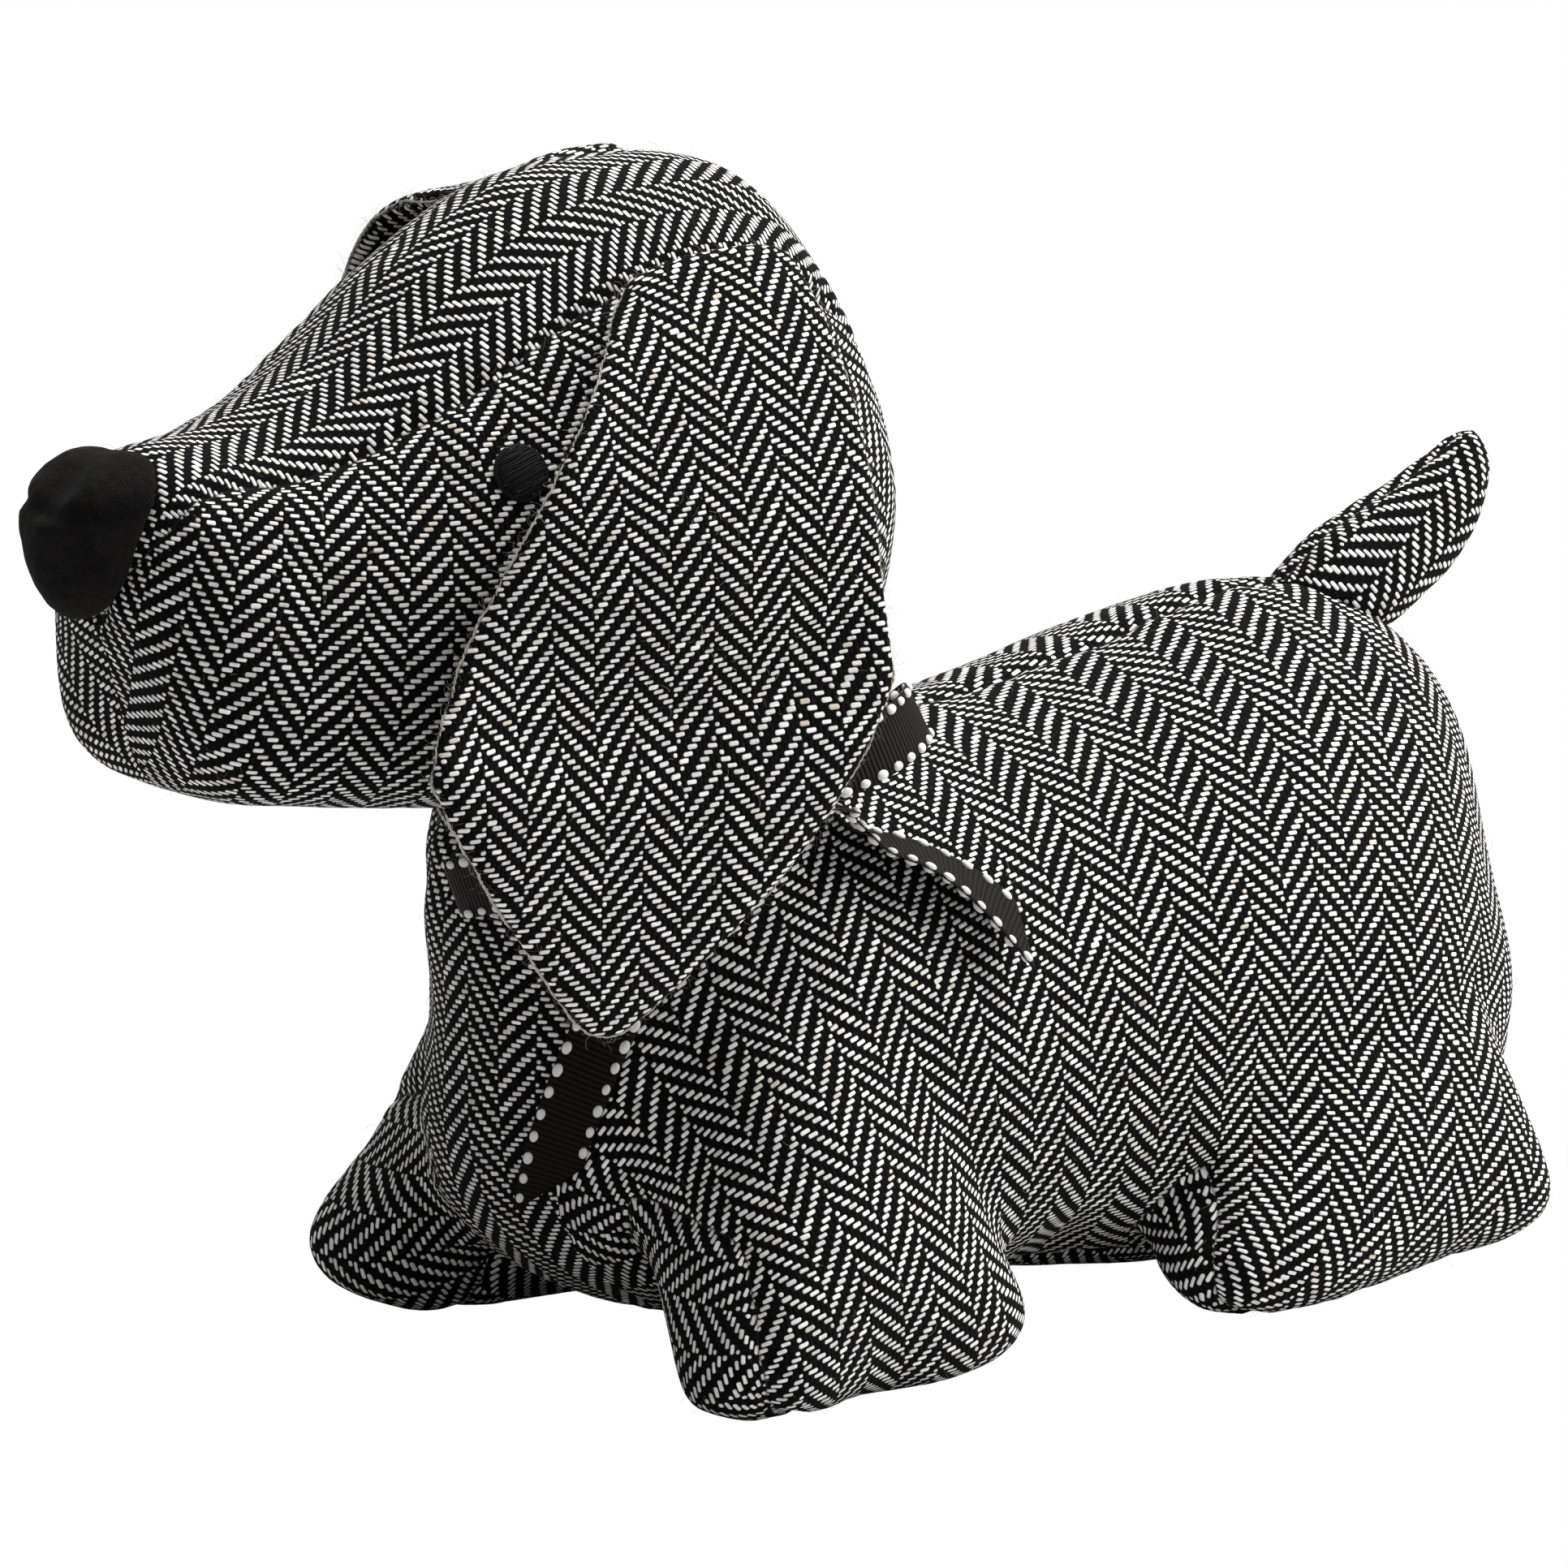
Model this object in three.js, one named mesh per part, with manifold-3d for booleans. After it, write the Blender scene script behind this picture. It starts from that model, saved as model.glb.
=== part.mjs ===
// Weighted door stop in the form of a sewn, stuffed dog: a low body on four short legs, a long head with
// hanging ears, a stub tail and a ribbon tied round the neck. Millimetres, +Z up, the dog faces -X.
// Lengths along X are measured from the middle of the front feet until the whole is centred at the end.
import * as THREE from 'three';
import { mergeVertices } from 'three/addons/utils/BufferGeometryUtils.js';
import Module from 'manifold-3d';

const wasm = await Module();
wasm.setup();

const seatGap = 0.3; // between a piece and the one it is sewn to or lies on
const sides = { left: -1, right: 1 };
const farOff = 1000; // further than any point of the dog
// Points in a ring, or in each span of a drawn section.
const around = { torso: 32, neck: 28, leg: 24, ear: 44, eye: 28, tail: 24, collar: 36, span: 4 };

// Torso: a bag that is wider low down and lies on its belly. Profiles are [share of length, share of size].
const torso = {
  front: -44,
  length: 235,
  height: 122,
  width: 118,
  waist: 42, // height of the widest line
  sag: 1.6, // how far the belly would hang below the floor that flattens it
  chestMiddle: 68, // height that the chest and the rump round towards
  rumpMiddle: 34,
  chestRound: 2.3,
  chestUpright: 3.8,
  rumpRound: 2.2,
  rumpUpright: 3.3,
  backPower: 2.1,
  bellyPower: 2.25,
  back: [[0, 0.96], [0.2, 0.955], [0.42, 0.893], [0.62, 0.93], [0.8, 1.01], [1, 1.03]],
  belly: [[0, 0.07], [0.2, 0.035], [0.4, 0.015], [0.5, 0], [1, 0]],
  girth: [[0, 0.97], [0.25, 0.97], [0.45, 0.92], [0.65, 0.97], [0.85, 1], [1, 1]],
};

// Neck: a short stub under the head, leaning back a little.
const neck = { x: -3, halfLength: 39, halfWidth: 36, bottom: 62, top: 136, lean: 4 };

// Legs: flattened pouches that splay outwards to rounded feet with the toes turned out. Rows are
// [height, half length, half width, how far in, how far back], from the sole to inside the torso.
const leg = {
  cornerRound: 2.6,
  perRow: 2, // how many rings there are for each row
  front: {
    x: 0,
    spread: { left: 50, right: 43.5 },
    toeOut: 7,
    rows: [
      [0, 32, 10, 0, 5],
      [2, 39, 14.5, 0, 5],
      [9, 41.5, 18, 0, 5.5],
      [20, 37, 21, 3, 3],
      [32, 32.5, 24, 9, 3],
      [44, 31, 25, 16, 5],
      [62, 31, 24, 23, 7],
      [80, 26, 18, 32, 9],
    ],
  },
  hind: {
    x: 126.5,
    spread: { left: 50, right: 50 },
    toeOut: 10,
    rows: [
      [0, 40, 9, 0, -1],
      [2, 47, 13.5, 0, -1],
      [9, 49.5, 17.5, 0, -1],
      [20, 44, 21, 4, 0.5],
      [34, 38, 24, 13, 2],
      [48, 33, 22, 22, 4],
      [60, 26, 16, 32, 5],
    ],
  },
};

// Head: half sections from the muzzle to the back of the skull. Rows are
// [x, top, seam half width, seam height, cheek half width, cheek height, jaw half width, jaw height, bottom].
const head = {
  front: -133,
  back: 40,
  muzzleRound: 20,
  muzzlePower: 2.4,
  chinPower: 1.9,
  skullRound: 40,
  skullPower: 2.1,
  middle: 166,
  rows: [
    [-135, 185, 15, 180, 22, 154, 18, 128, 124],
    [-105, 187, 18, 180.5, 31, 152, 26, 123.5, 119.2],
    [-80, 197, 22.5, 185.5, 40, 155, 33, 120.5, 115],
    [-60, 211, 26, 196.5, 47, 158, 38, 119.5, 114],
    [-30, 224, 30, 206, 53, 158, 41, 121, 114.5],
    [0, 223, 31, 207, 54, 160, 41, 125, 118],
    [20, 216.5, 31, 201, 52, 162, 39, 128, 121],
    [41, 206.5, 29, 194, 48, 164, 36, 132, 125],
  ],
};

// Nose cap: its section, given from the middle of the cap, is widest near the top, and its rear edge leans
// forward at the bottom.
const nose = {
  tip: -145,
  rearTop: -124.5,
  rearBottom: -134.5,
  middle: 173.5,
  power: 2.2,
  section: [[0, 12.6], [10, 11.8], [16, 4.5], [11.5, -9.5], [0, -17.5]],
};

// Ears: flat flaps of two layers, hung from the top of the head. The fall is [out from the middle, height].
const ear = {
  thickness: 3.6,
  fall: {
    left: [[30, 208.5], [43, 201], [54.5, 181], [61, 155], [63.5, 130], [63, 105], [61, 74]],
    right: [[27, 212], [40, 211.5], [50, 203], [57, 185], [61.5, 158], [63.5, 130], [63, 105], [61, 74]],
  },
  toeIn: 8,
  setBack: { left: 0, right: 13 }, // how far behind the place of its outline an ear is sewn on
  sweep: { left: 0, right: 0.36 }, // how far back an ear hangs, for each length that it falls
  hinge: 7,
  settle: 70, // how far down the toe-in has come in full
  heart: [-32, 72],
  outline: [
    [-31, 0], [-10, -1.5], [6, 0], [8.5, 16], [8, 45], [5, 76], [0.5, 90],
    [-18, 112], [-44, 133], [-58, 139], [-72, 124], [-92, 98], [-92, 84], [-72, 52], [-50, 22],
  ],
};

const eye = { x: -63.5, z: 179.5, halfLength: 4.9, halfHeight: 5.3, thickness: 2 };

// Tail: a flattened stuffed horn. Rows are [how far behind the torso, z, half height, half thickness] along
// its middle line.
const tail = {
  roundFrom: 0.6,
  roundPower: 2.2,
  rings: 14,
  rows: [
    [-41, 104, 11, 10],
    [-28, 114, 11.5, 10],
    [-17.5, 118.5, 11.5, 9.5],
    [-8, 123, 10.5, 8.5],
    [0.5, 130.5, 9, 7],
    [5, 139.5, 7, 5],
  ],
};

// Ribbon: one strip for the collar, the knot, two loops and two tails. A loop is [start, bend, end] of its
// middle line, and a tail is a row of places that it hangs through.
const ribbon = {
  width: 9.6,
  thickness: 0.9,
  slack: 0.5, // how loosely the collar goes round the neck
  tailSlack: 1.3,
  settleShare: 0.4, // how far along a tail it has come down to the cloth
  collarHeight: 113.5,
  collarSlope: 0.27,
  knot: [-20, -40.5, 110],
  knotSize: [7.5, 4.5, 6.5],
  forward: 0.6, // how far forward the cloth below the front tail faces
  upward: 0.25,
  loops: [
    { bend: [[-21, -41, 110.6], [-52, -36, 104], [-49, 2, 92]], outward: [-0.7, -0.7, 0.1], rise: 3.2 },
    { bend: [[-18.6, -41.4, 110.9], [8, -50, 112], [31, -34, 117]], outward: [0.15, -1, 0.35], rise: 3.2 },
  ],
  tails: [
    [[-20.7, -40.2, 108.4], [-27, -37, 92], [-33, -28, 70], [-37, -22, 54], [-40, -15, 40]],
    [[-18.2, -40.4, 108.9], [0, -42, 107.5], [20, -42, 101], [34, -46, 90], [45, -51, 73]],
  ],
};

const finish = (name, color, roughness) =>
  new THREE.MeshStandardMaterial({ name, color, roughness, metalness: 0 });
const finishes = {
  cloth: finish('herringbone_wool', 0x6f6f6d, 0.92),
  suede: finish('black_suede', 0x0d0d0d, 0.95),
  thread: finish('black_thread', 0x101010, 0.5),
  ribbon: finish('grosgrain', 0x141214, 0.7),
};

// A smooth curve through rows of [t, value, value, ...], read at any t.
function smoothRows(rows) {
  const last = rows.length - 1;
  const slope = (i, c) => {
    const a = rows[Math.max(i - 1, 0)];
    const b = rows[Math.min(i + 1, last)];
    return (b[c] - a[c]) / (b[0] - a[0]);
  };
  return (t) => {
    let i = 0;
    while (i < last - 1 && t > rows[i + 1][0]) i += 1;
    const step = rows[i + 1][0] - rows[i][0];
    const s = THREE.MathUtils.clamp((t - rows[i][0]) / step, 0, 1);
    return rows[i].slice(1).map((v, k) => {
      const c = k + 1;
      const w = rows[i + 1][c];
      const rise = s * s * (3 - 2 * s);
      const out = s * (1 - s) * (1 - s) * step * slope(i, c);
      const into = s * s * (1 - s) * step * slope(i + 1, c);
      return v + (w - v) * rise + out - into;
    });
  };
}

// How much of a section is left a share u of the way into a rounded end.
const rounding = (u, power) => Math.pow(Math.max(1 - Math.pow(Math.abs(u), power), 0), 1 / power);

const bulge = (value, power) => Math.sign(value) * Math.pow(Math.abs(value), 2 / power);

// Stations bunched towards both ends, and short of them, so that a rounded end stays open for its cap.
const nearEnd = 0.9985;

function stations(count) {
  return Array.from({ length: count + 1 }, (_, i) =>
    0.5 - (nearEnd - 0.5) * Math.cos((Math.PI * i) / count));
}

function toSolid(geometry) {
  const bare = geometry.clone();
  bare.deleteAttribute('normal');
  bare.deleteAttribute('uv');
  const merged = mergeVertices(bare, 1e-4);
  const triVerts = new Uint32Array(merged.index.array);
  const vertProperties = new Float32Array(merged.attributes.position.array);
  return new wasm.Manifold(new wasm.Mesh({ numProp: 3, vertProperties, triVerts }));
}

// A solid skin over rings of points that run the same way round, capped at both ends or closed on itself.
function loft(rings, closed = false) {
  const count = rings[0].length;
  const points = rings.flat();
  const faces = [];
  const spans = closed ? rings.length : rings.length - 1;
  for (let r = 0; r < spans; r += 1) {
    const next = ((r + 1) % rings.length) * count;
    for (let i = 0; i < count; i += 1) {
      const j = (i + 1) % count;
      faces.push(r * count + i, r * count + j, next + j);
      faces.push(r * count + i, next + j, next + i);
    }
  }
  if (!closed) {
    [0, rings.length - 1].forEach((r) => {
      const middle = new THREE.Vector3();
      rings[r].forEach((p) => middle.addScaledVector(p, 1 / count));
      const hub = points.push(middle) - 1;
      for (let i = 0; i < count; i += 1) {
        const pair = [r * count + i, r * count + ((i + 1) % count)];
        faces.push(...(r === 0 ? pair.reverse() : pair), hub);
      }
    });
  }
  const signedVolume = faces.reduce((sum, _, f) => {
    if (f % 3) return sum;
    const [a, b, c] = [points[faces[f]], points[faces[f + 1]], points[faces[f + 2]]];
    return sum + a.dot(b.clone().cross(c));
  }, 0);
  if (signedVolume < 0) faces.reverse();
  const geometry = new THREE.BufferGeometry().setFromPoints(points);
  geometry.setIndex(faces);
  return toSolid(geometry);
}

function toMesh(name, solid, material) {
  const mesh = solid.getMesh();
  const geometry = new THREE.BufferGeometry();
  const points = new Float32Array(mesh.vertProperties);
  geometry.setAttribute('position', new THREE.BufferAttribute(points, 3));
  geometry.setIndex(new THREE.BufferAttribute(new Uint32Array(mesh.triVerts), 1));
  geometry.computeVertexNormals();
  const made = new THREE.Mesh(geometry, material);
  made.name = name;
  return made;
}

// The solid thickened by the seat gap, to be cut from a neighbour.
function withGap(solid) {
  const g = seatGap;
  const moves = [[g, 0, 0], [-g, 0, 0], [0, g, 0], [0, -g, 0], [0, 0, g], [0, 0, -g]];
  return moves.reduce((sum, move) => sum.add(solid.translate(move)), solid);
}

// The largest piece of what a cut leaves.
function mainPiece(solid) {
  return solid.decompose().sort((a, b) => b.volume() - a.volume())[0];
}

function makeTorso() {
  const back = smoothRows(torso.back);
  const belly = smoothRows(torso.belly);
  const girth = smoothRows(torso.girth);
  const rings = stations(22).map((t) => {
    const u = 2 * t - 1;
    const planPower = u < 0 ? torso.chestRound : torso.rumpRound;
    const sidePower = u < 0 ? torso.chestUpright : torso.rumpUpright;
    const tall = rounding(u, sidePower);
    const half = (torso.width / 2) * girth(t)[0] * rounding(u, planPower);
    const middle = THREE.MathUtils.lerp(torso.chestMiddle, torso.rumpMiddle, t);
    const level = (z) => middle + (z - middle) * tall;
    const top = level(torso.height * back(t)[0]);
    const bottom = level(torso.height * belly(t)[0] - torso.sag);
    const waist = level(torso.waist);
    return Array.from({ length: around.torso }, (_, i) => {
      const a = (2 * Math.PI * i) / around.torso;
      const up = Math.sin(a) > 0;
      const reach = up ? top - waist : waist - bottom;
      const power = up ? torso.backPower : torso.bellyPower;
      const y = half * bulge(Math.cos(a), power);
      const z = waist + reach * bulge(Math.sin(a), power);
      return new THREE.Vector3(torso.front + t * torso.length, y, z);
    });
  });
  return loft(rings);
}

function makeNeck() {
  const rings = [0, 0.5, 1].map((s) => Array.from({ length: around.neck }, (_, i) => {
    const a = (2 * Math.PI * i) / around.neck;
    const x = neck.x + neck.lean * s + neck.halfLength * Math.cos(a);
    return new THREE.Vector3(x, neck.halfWidth * Math.sin(a), neck.bottom + (neck.top - neck.bottom) * s);
  }));
  return loft(rings);
}

function makeLeg({ x, spread, toeOut, rows }, name) {
  const side = sides[name];
  const at = smoothRows(rows);
  const heights = rows.flatMap(([z], i) => {
    const next = rows[Math.min(i + 1, rows.length - 1)][0];
    const parts = next > z ? leg.perRow : 1;
    return Array.from({ length: parts }, (_, k) => z + ((next - z) * k) / parts);
  });
  const turn = THREE.MathUtils.degToRad(toeOut) * -side;
  const rings = heights.map((z) => {
    const [halfLength, halfWidth, inwards, backwards] = at(z);
    return Array.from({ length: around.leg }, (_, i) => {
      const a = (2 * Math.PI * i) / around.leg;
      const along = halfLength * bulge(Math.cos(a), leg.cornerRound);
      const across = halfWidth * bulge(Math.sin(a), leg.cornerRound);
      const p = new THREE.Vector3(along, across, z).applyAxisAngle(new THREE.Vector3(0, 0, 1), turn);
      return p.add(new THREE.Vector3(x + backwards, side * (spread[name] - inwards), 0));
    });
  });
  return loft(rings);
}

function makeBody() {
  let body = makeTorso().add(makeNeck());
  Object.keys(sides).forEach((name) => {
    body = body.add(makeLeg(leg.front, name));
    body = body.add(makeLeg(leg.hind, name));
  });
  const floor = new THREE.BoxGeometry(farOff, farOff, farOff).translate(0, 0, -farOff / 2);
  return body.subtract(toSolid(floor));
}

// A closed section through half-outline points, mirrored across the middle.
function mirroredSection(half) {
  const other = half.slice(1, -1).reverse().map(([y, z]) => [-y, z]);
  const points = [...half, ...other].map(([y, z]) => new THREE.Vector3(0, y, z));
  const curve = new THREE.CatmullRomCurve3(points, true, 'centripetal');
  const count = points.length * around.span;
  return Array.from({ length: count }, (_, i) => curve.getPoint(i / count));
}

function makeHead() {
  const at = smoothRows(head.rows);
  const length = head.back - head.front;
  const rings = stations(22).map((t) => {
    const x = head.front + length * t;
    const [top, seamY, seamZ, cheekY, cheekZ, jawY, jawZ, bottom] = at(x);
    const intoMuzzle = Math.max((head.front + head.muzzleRound - x) / head.muzzleRound, 0);
    const intoSkull = Math.max((x - head.back + head.skullRound) / head.skullRound, 0);
    const skull = rounding(intoSkull, head.skullPower);
    const wide = rounding(intoMuzzle, head.muzzlePower) * skull;
    const under = rounding(intoMuzzle, head.chinPower) * skull;
    const half = [[0, top], [seamY, seamZ], [cheekY, cheekZ], [jawY, jawZ], [0, bottom]];
    const section = mirroredSection(half);
    return section.map((p) => {
      const fromMiddle = p.z - head.middle;
      const z = head.middle + fromMiddle * (fromMiddle > 0 ? wide : under);
      return new THREE.Vector3(x, p.y * wide, z);
    });
  });
  return loft(rings);
}

function makeNose() {
  const section = mirroredSection(nose.section);
  const high = nose.section[0][1];
  const low = nose.section[nose.section.length - 1][1];
  const rings = [0, 0.25, 0.48, 0.68, 0.83, 0.93, 0.98, 0.999].map((q) => {
    const left = rounding(q, nose.power);
    return section.map((p) => {
      const rear = THREE.MathUtils.mapLinear(p.z, low, high, nose.rearBottom, nose.rearTop);
      return new THREE.Vector3(rear + (nose.tip - rear) * q, p.y * left, nose.middle + p.z * left);
    });
  });
  return loft(rings);
}

// The place on the ear of a point of its flat outline, a depth outwards from the middle of the cloth.
function earPoint(fall, length, x, drop, depth) {
  const share = THREE.MathUtils.clamp(drop / length, 0, 1);
  const on = fall.getPointAt(share);
  const along = fall.getTangentAt(share);
  const swing = Math.tan(THREE.MathUtils.degToRad(ear.toeIn)) * (ear.hinge - x);
  const settle = THREE.MathUtils.smoothstep(drop, 0, ear.settle);
  return new THREE.Vector3(x, on.x - swing * settle - along.y * depth, on.y + along.x * depth);
}

function makeEar(name) {
  const side = sides[name];
  const fall = new THREE.SplineCurve(ear.fall[name].map(([y, z]) => new THREE.Vector2(y, z)));
  const length = fall.getLength();
  const flat = ear.outline.map(([x, drop]) => new THREE.Vector3(x, drop, 0));
  const rim = new THREE.CatmullRomCurve3(flat, true, 'centripetal');
  const edge = rim.getSpacedPoints(around.ear).slice(0, around.ear);
  const heart = new THREE.Vector3(ear.heart[0], ear.heart[1], 0);
  const layers = [];
  const reaches = [0.05, 0.3, 0.55, 0.75, 0.9, 0.97];
  const row = (reach, depth) => edge.map((p) => {
    const q = heart.clone().lerp(p, reach);
    const drop = Math.max(q.y, 0);
    const placed = earPoint(fall, length, q.x, drop, depth);
    placed.x += ear.setBack[name] + ear.sweep[name] * drop;
    placed.y *= side;
    return placed;
  });
  const half = (reach) => (ear.thickness / 2) * rounding(reach, 7);
  reaches.forEach((r) => layers.push(row(r, half(r))));
  layers.push(row(1, 0));
  [...reaches].reverse().forEach((r) => layers.push(row(r, -half(r))));
  return loft(layers);
}

// The first place where a ray that comes in along a direction meets a mesh.
function onSurface(mesh, target, outward) {
  const ray = new THREE.Raycaster(target.clone().addScaledVector(outward, farOff), outward.clone().negate());
  return ray.intersectObject(mesh)[0];
}

function makeEye(headMesh, side) {
  const hit = onSurface(headMesh, new THREE.Vector3(eye.x, 0, eye.z), new THREE.Vector3(0, side, 0));
  const profile = [[0, -3], [1, -3], [1, 0], [0.8, 0.75], [0.45, 0.97], [0, 1]].map(([r, h]) =>
    new THREE.Vector2(r, h * eye.thickness));
  const disc = new THREE.LatheGeometry(profile, around.eye);
  disc.scale(eye.halfLength, 1, eye.halfHeight);
  const turn = new THREE.Quaternion().setFromUnitVectors(new THREE.Vector3(0, 1, 0), hit.face.normal);
  disc.applyQuaternion(turn).translate(hit.point.x, hit.point.y, hit.point.z);
  return toSolid(disc);
}

function makeTail() {
  const rear = torso.front + torso.length;
  const rows = tail.rows.map(([behind, ...rest]) => [rear + behind, ...rest]);
  const middles = rows.map(([x, z]) => new THREE.Vector3(x, 0, z));
  const path = new THREE.CatmullRomCurve3(middles, false, 'centripetal');
  const size = smoothRows(rows.map(([, , high, thick], i) => [i / (rows.length - 1), high, thick]));
  const rings = Array.from({ length: tail.rings + 1 }, (_, i) => i / tail.rings).map((s) => {
    const middle = path.getPoint(s);
    const along = path.getTangent(s);
    const up = new THREE.Vector3(-along.z, 0, along.x);
    const [high, thick] = size(s);
    const intoTip = Math.max((s - tail.roundFrom) / (1 - tail.roundFrom), 0);
    const left = rounding(Math.min(intoTip, nearEnd), tail.roundPower);
    return Array.from({ length: around.tail }, (_, k) => {
      const a = (2 * Math.PI * k) / around.tail;
      const p = middle.clone().addScaledVector(up, high * left * Math.cos(a));
      p.y = thick * left * Math.sin(a);
      return p;
    });
  });
  return loft(rings);
}

// A flat strip along points, with the direction across it at each of them.
function makeStrip(points, across, closed = false) {
  const last = points.length - 1;
  const rings = points.map((p, i) => {
    const a = points[closed ? (i + last) % points.length : Math.max(i - 1, 0)];
    const b = points[closed ? (i + 1) % points.length : Math.min(i + 1, last)];
    const along = b.clone().sub(a).normalize();
    const wide = across[i].clone().addScaledVector(along, -across[i].dot(along)).normalize();
    const out = wide.clone().cross(along);
    return [[-1, -1], [1, -1], [1, 1], [-1, 1]].map(([s, d]) => {
      const corner = p.clone().addScaledVector(wide, (s * ribbon.width) / 2);
      return corner.addScaledVector(out, (d * ribbon.thickness) / 2);
    });
  });
  return loft(rings, closed);
}

function makeCollar() {
  const count = around.collar;
  const lean = (neck.lean * (ribbon.collarHeight - neck.bottom)) / (neck.top - neck.bottom);
  const lift = seatGap + ribbon.thickness / 2 + ribbon.slack;
  const points = [];
  const across = [];
  for (let i = 0; i < count; i += 1) {
    const a = (2 * Math.PI * i) / count;
    const x = (neck.halfLength + lift) * Math.cos(a);
    const y = (neck.halfWidth + lift) * Math.sin(a);
    points.push(new THREE.Vector3(neck.x + lean + x, y, ribbon.collarHeight + ribbon.collarSlope * x));
    across.push(new THREE.Vector3(-ribbon.collarSlope, 0, 1));
  }
  return makeStrip(points, across, true);
}

// A loop of the bow: out from the knot along a bent line and back over itself, pinched at the knot.
function makeLoop({ bend, outward, rise }) {
  const [start, middle, end] = bend.map((p) => new THREE.Vector3(...p));
  const base = new THREE.QuadraticBezierCurve3(start, middle, end);
  const out = new THREE.Vector3(...outward).normalize();
  const points = [];
  const across = [];
  const count = 18;
  for (let i = 0; i <= count; i += 1) {
    const a = (2 * Math.PI * i) / count;
    const reach = (1 - Math.cos(a)) / 2;
    points.push(base.getPoint(reach).addScaledVector(out, rise * (1 - Math.sin(a) * Math.sqrt(reach))));
    across.push(base.getTangent(reach).cross(out).normalize());
  }
  return makeStrip(points, across);
}

// A tail of the bow, laid on the body below the knot and cut across at a slant.
function makeRibbonTail(bodyMesh, places) {
  const path = new THREE.CatmullRomCurve3(places.map((p) => new THREE.Vector3(...p)), false, 'centripetal');
  const lift = seatGap + ribbon.thickness / 2 + ribbon.tailSlack;
  const points = [];
  const across = [];
  const count = 12;
  for (let i = 0; i <= count; i += 1) {
    const s = i / count;
    const target = path.getPoint(s);
    const forward = places[places.length - 1][0] < ribbon.knot[0] ? ribbon.forward : 0;
    const outward = new THREE.Vector3(-forward, -1, ribbon.upward).normalize();
    const hit = onSurface(bodyMesh, target, outward);
    const laid = hit.point.clone().addScaledVector(hit.face.normal, lift);
    const share = THREE.MathUtils.smoothstep(s, 0, ribbon.settleShare);
    points.push(target.clone().lerp(laid, share));
    across.push(path.getTangent(s).cross(hit.face.normal).normalize());
  }
  return makeStrip(points, across);
}

function makeRibbon(bodyMesh) {
  const knot = new THREE.SphereGeometry(1, 12, 8).scale(...ribbon.knotSize).translate(...ribbon.knot);
  let whole = makeCollar().add(toSolid(knot));
  ribbon.loops.forEach((loop) => { whole = whole.add(makeLoop(loop)); });
  ribbon.tails.forEach((places) => { whole = whole.add(makeRibbonTail(bodyMesh, places)); });
  return whole;
}

const dog = new THREE.Group();
dog.name = 'dog_door_stop';

const headSolid = makeHead();
const headMesh = toMesh('head', headSolid, finishes.cloth);
const headRoom = withGap(headSolid);
const bodySolid = mainPiece(makeBody().subtract(headRoom));
const bodyMesh = toMesh('body', bodySolid, finishes.cloth);
const bodyRoom = withGap(bodySolid);
const ears = Object.keys(sides).map((name) => mainPiece(makeEar(name).subtract(headRoom)));
const earRoom = ears.map(withGap);
const eyes = Object.values(sides).map((side, i) =>
  mainPiece(makeEye(headMesh, side).subtract(headRoom).subtract(earRoom[i])));
const ribbonSolid = mainPiece(earRoom.reduce((rest, room) => rest.subtract(room),
  makeRibbon(bodyMesh).subtract(bodyRoom).subtract(headRoom)));

dog.add(bodyMesh);
dog.add(headMesh);
dog.add(toMesh('nose', mainPiece(makeNose().subtract(headRoom)), finishes.suede));
Object.keys(sides).forEach((side, i) => {
  dog.add(toMesh(`ear_${side}`, ears[i], finishes.cloth));
  dog.add(toMesh(`eye_${side}`, eyes[i], finishes.thread));
});
dog.add(toMesh('tail', mainPiece(makeTail().subtract(bodyRoom)), finishes.cloth));
dog.add(toMesh('ribbon', ribbonSolid, finishes.ribbon));

// The origin is on the floor, below the middle of the whole.
const whole = new THREE.Box3().setFromObject(dog);
dog.position.set(-(whole.min.x + whole.max.x) / 2, -(whole.min.y + whole.max.y) / 2, -whole.min.z);

export default dog;
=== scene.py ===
import math

import bmesh
import bpy
import numpy as np
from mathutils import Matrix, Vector, kdtree, noise
from mathutils.bvhtree import BVHTree


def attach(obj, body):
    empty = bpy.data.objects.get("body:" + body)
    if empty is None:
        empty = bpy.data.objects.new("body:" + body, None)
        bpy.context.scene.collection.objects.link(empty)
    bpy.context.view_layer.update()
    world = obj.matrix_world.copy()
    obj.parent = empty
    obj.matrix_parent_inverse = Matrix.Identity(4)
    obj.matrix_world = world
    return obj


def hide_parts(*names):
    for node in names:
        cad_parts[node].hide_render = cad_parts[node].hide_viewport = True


# A stuffed dog in herringbone wool. The dog faces -X and its left side is towards -Y. Meshes are in metres.
# The forms of the pieces are in millimetres, with X measured from the middle of the front feet.
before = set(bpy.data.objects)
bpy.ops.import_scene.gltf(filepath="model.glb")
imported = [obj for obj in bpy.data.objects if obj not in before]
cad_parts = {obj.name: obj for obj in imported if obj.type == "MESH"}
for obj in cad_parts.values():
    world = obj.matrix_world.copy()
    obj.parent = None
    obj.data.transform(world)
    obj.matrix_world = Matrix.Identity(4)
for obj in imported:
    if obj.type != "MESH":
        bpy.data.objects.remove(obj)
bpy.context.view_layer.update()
scene = bpy.context.scene
footOrigin = -0.0270416  # where the middle of the front feet is along X


def say(text):
    print("stage:", text, flush=True)


# Mesh helpers

def toArray(piece):
    flat = np.empty(len(piece.data.vertices) * 3, np.float64)
    piece.data.vertices.foreach_get("co", flat)
    return flat.reshape(-1, 3)


def fromArray(piece, points):
    piece.data.vertices.foreach_set("co", np.ascontiguousarray(points, np.float32).ravel())
    piece.data.update()


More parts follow.
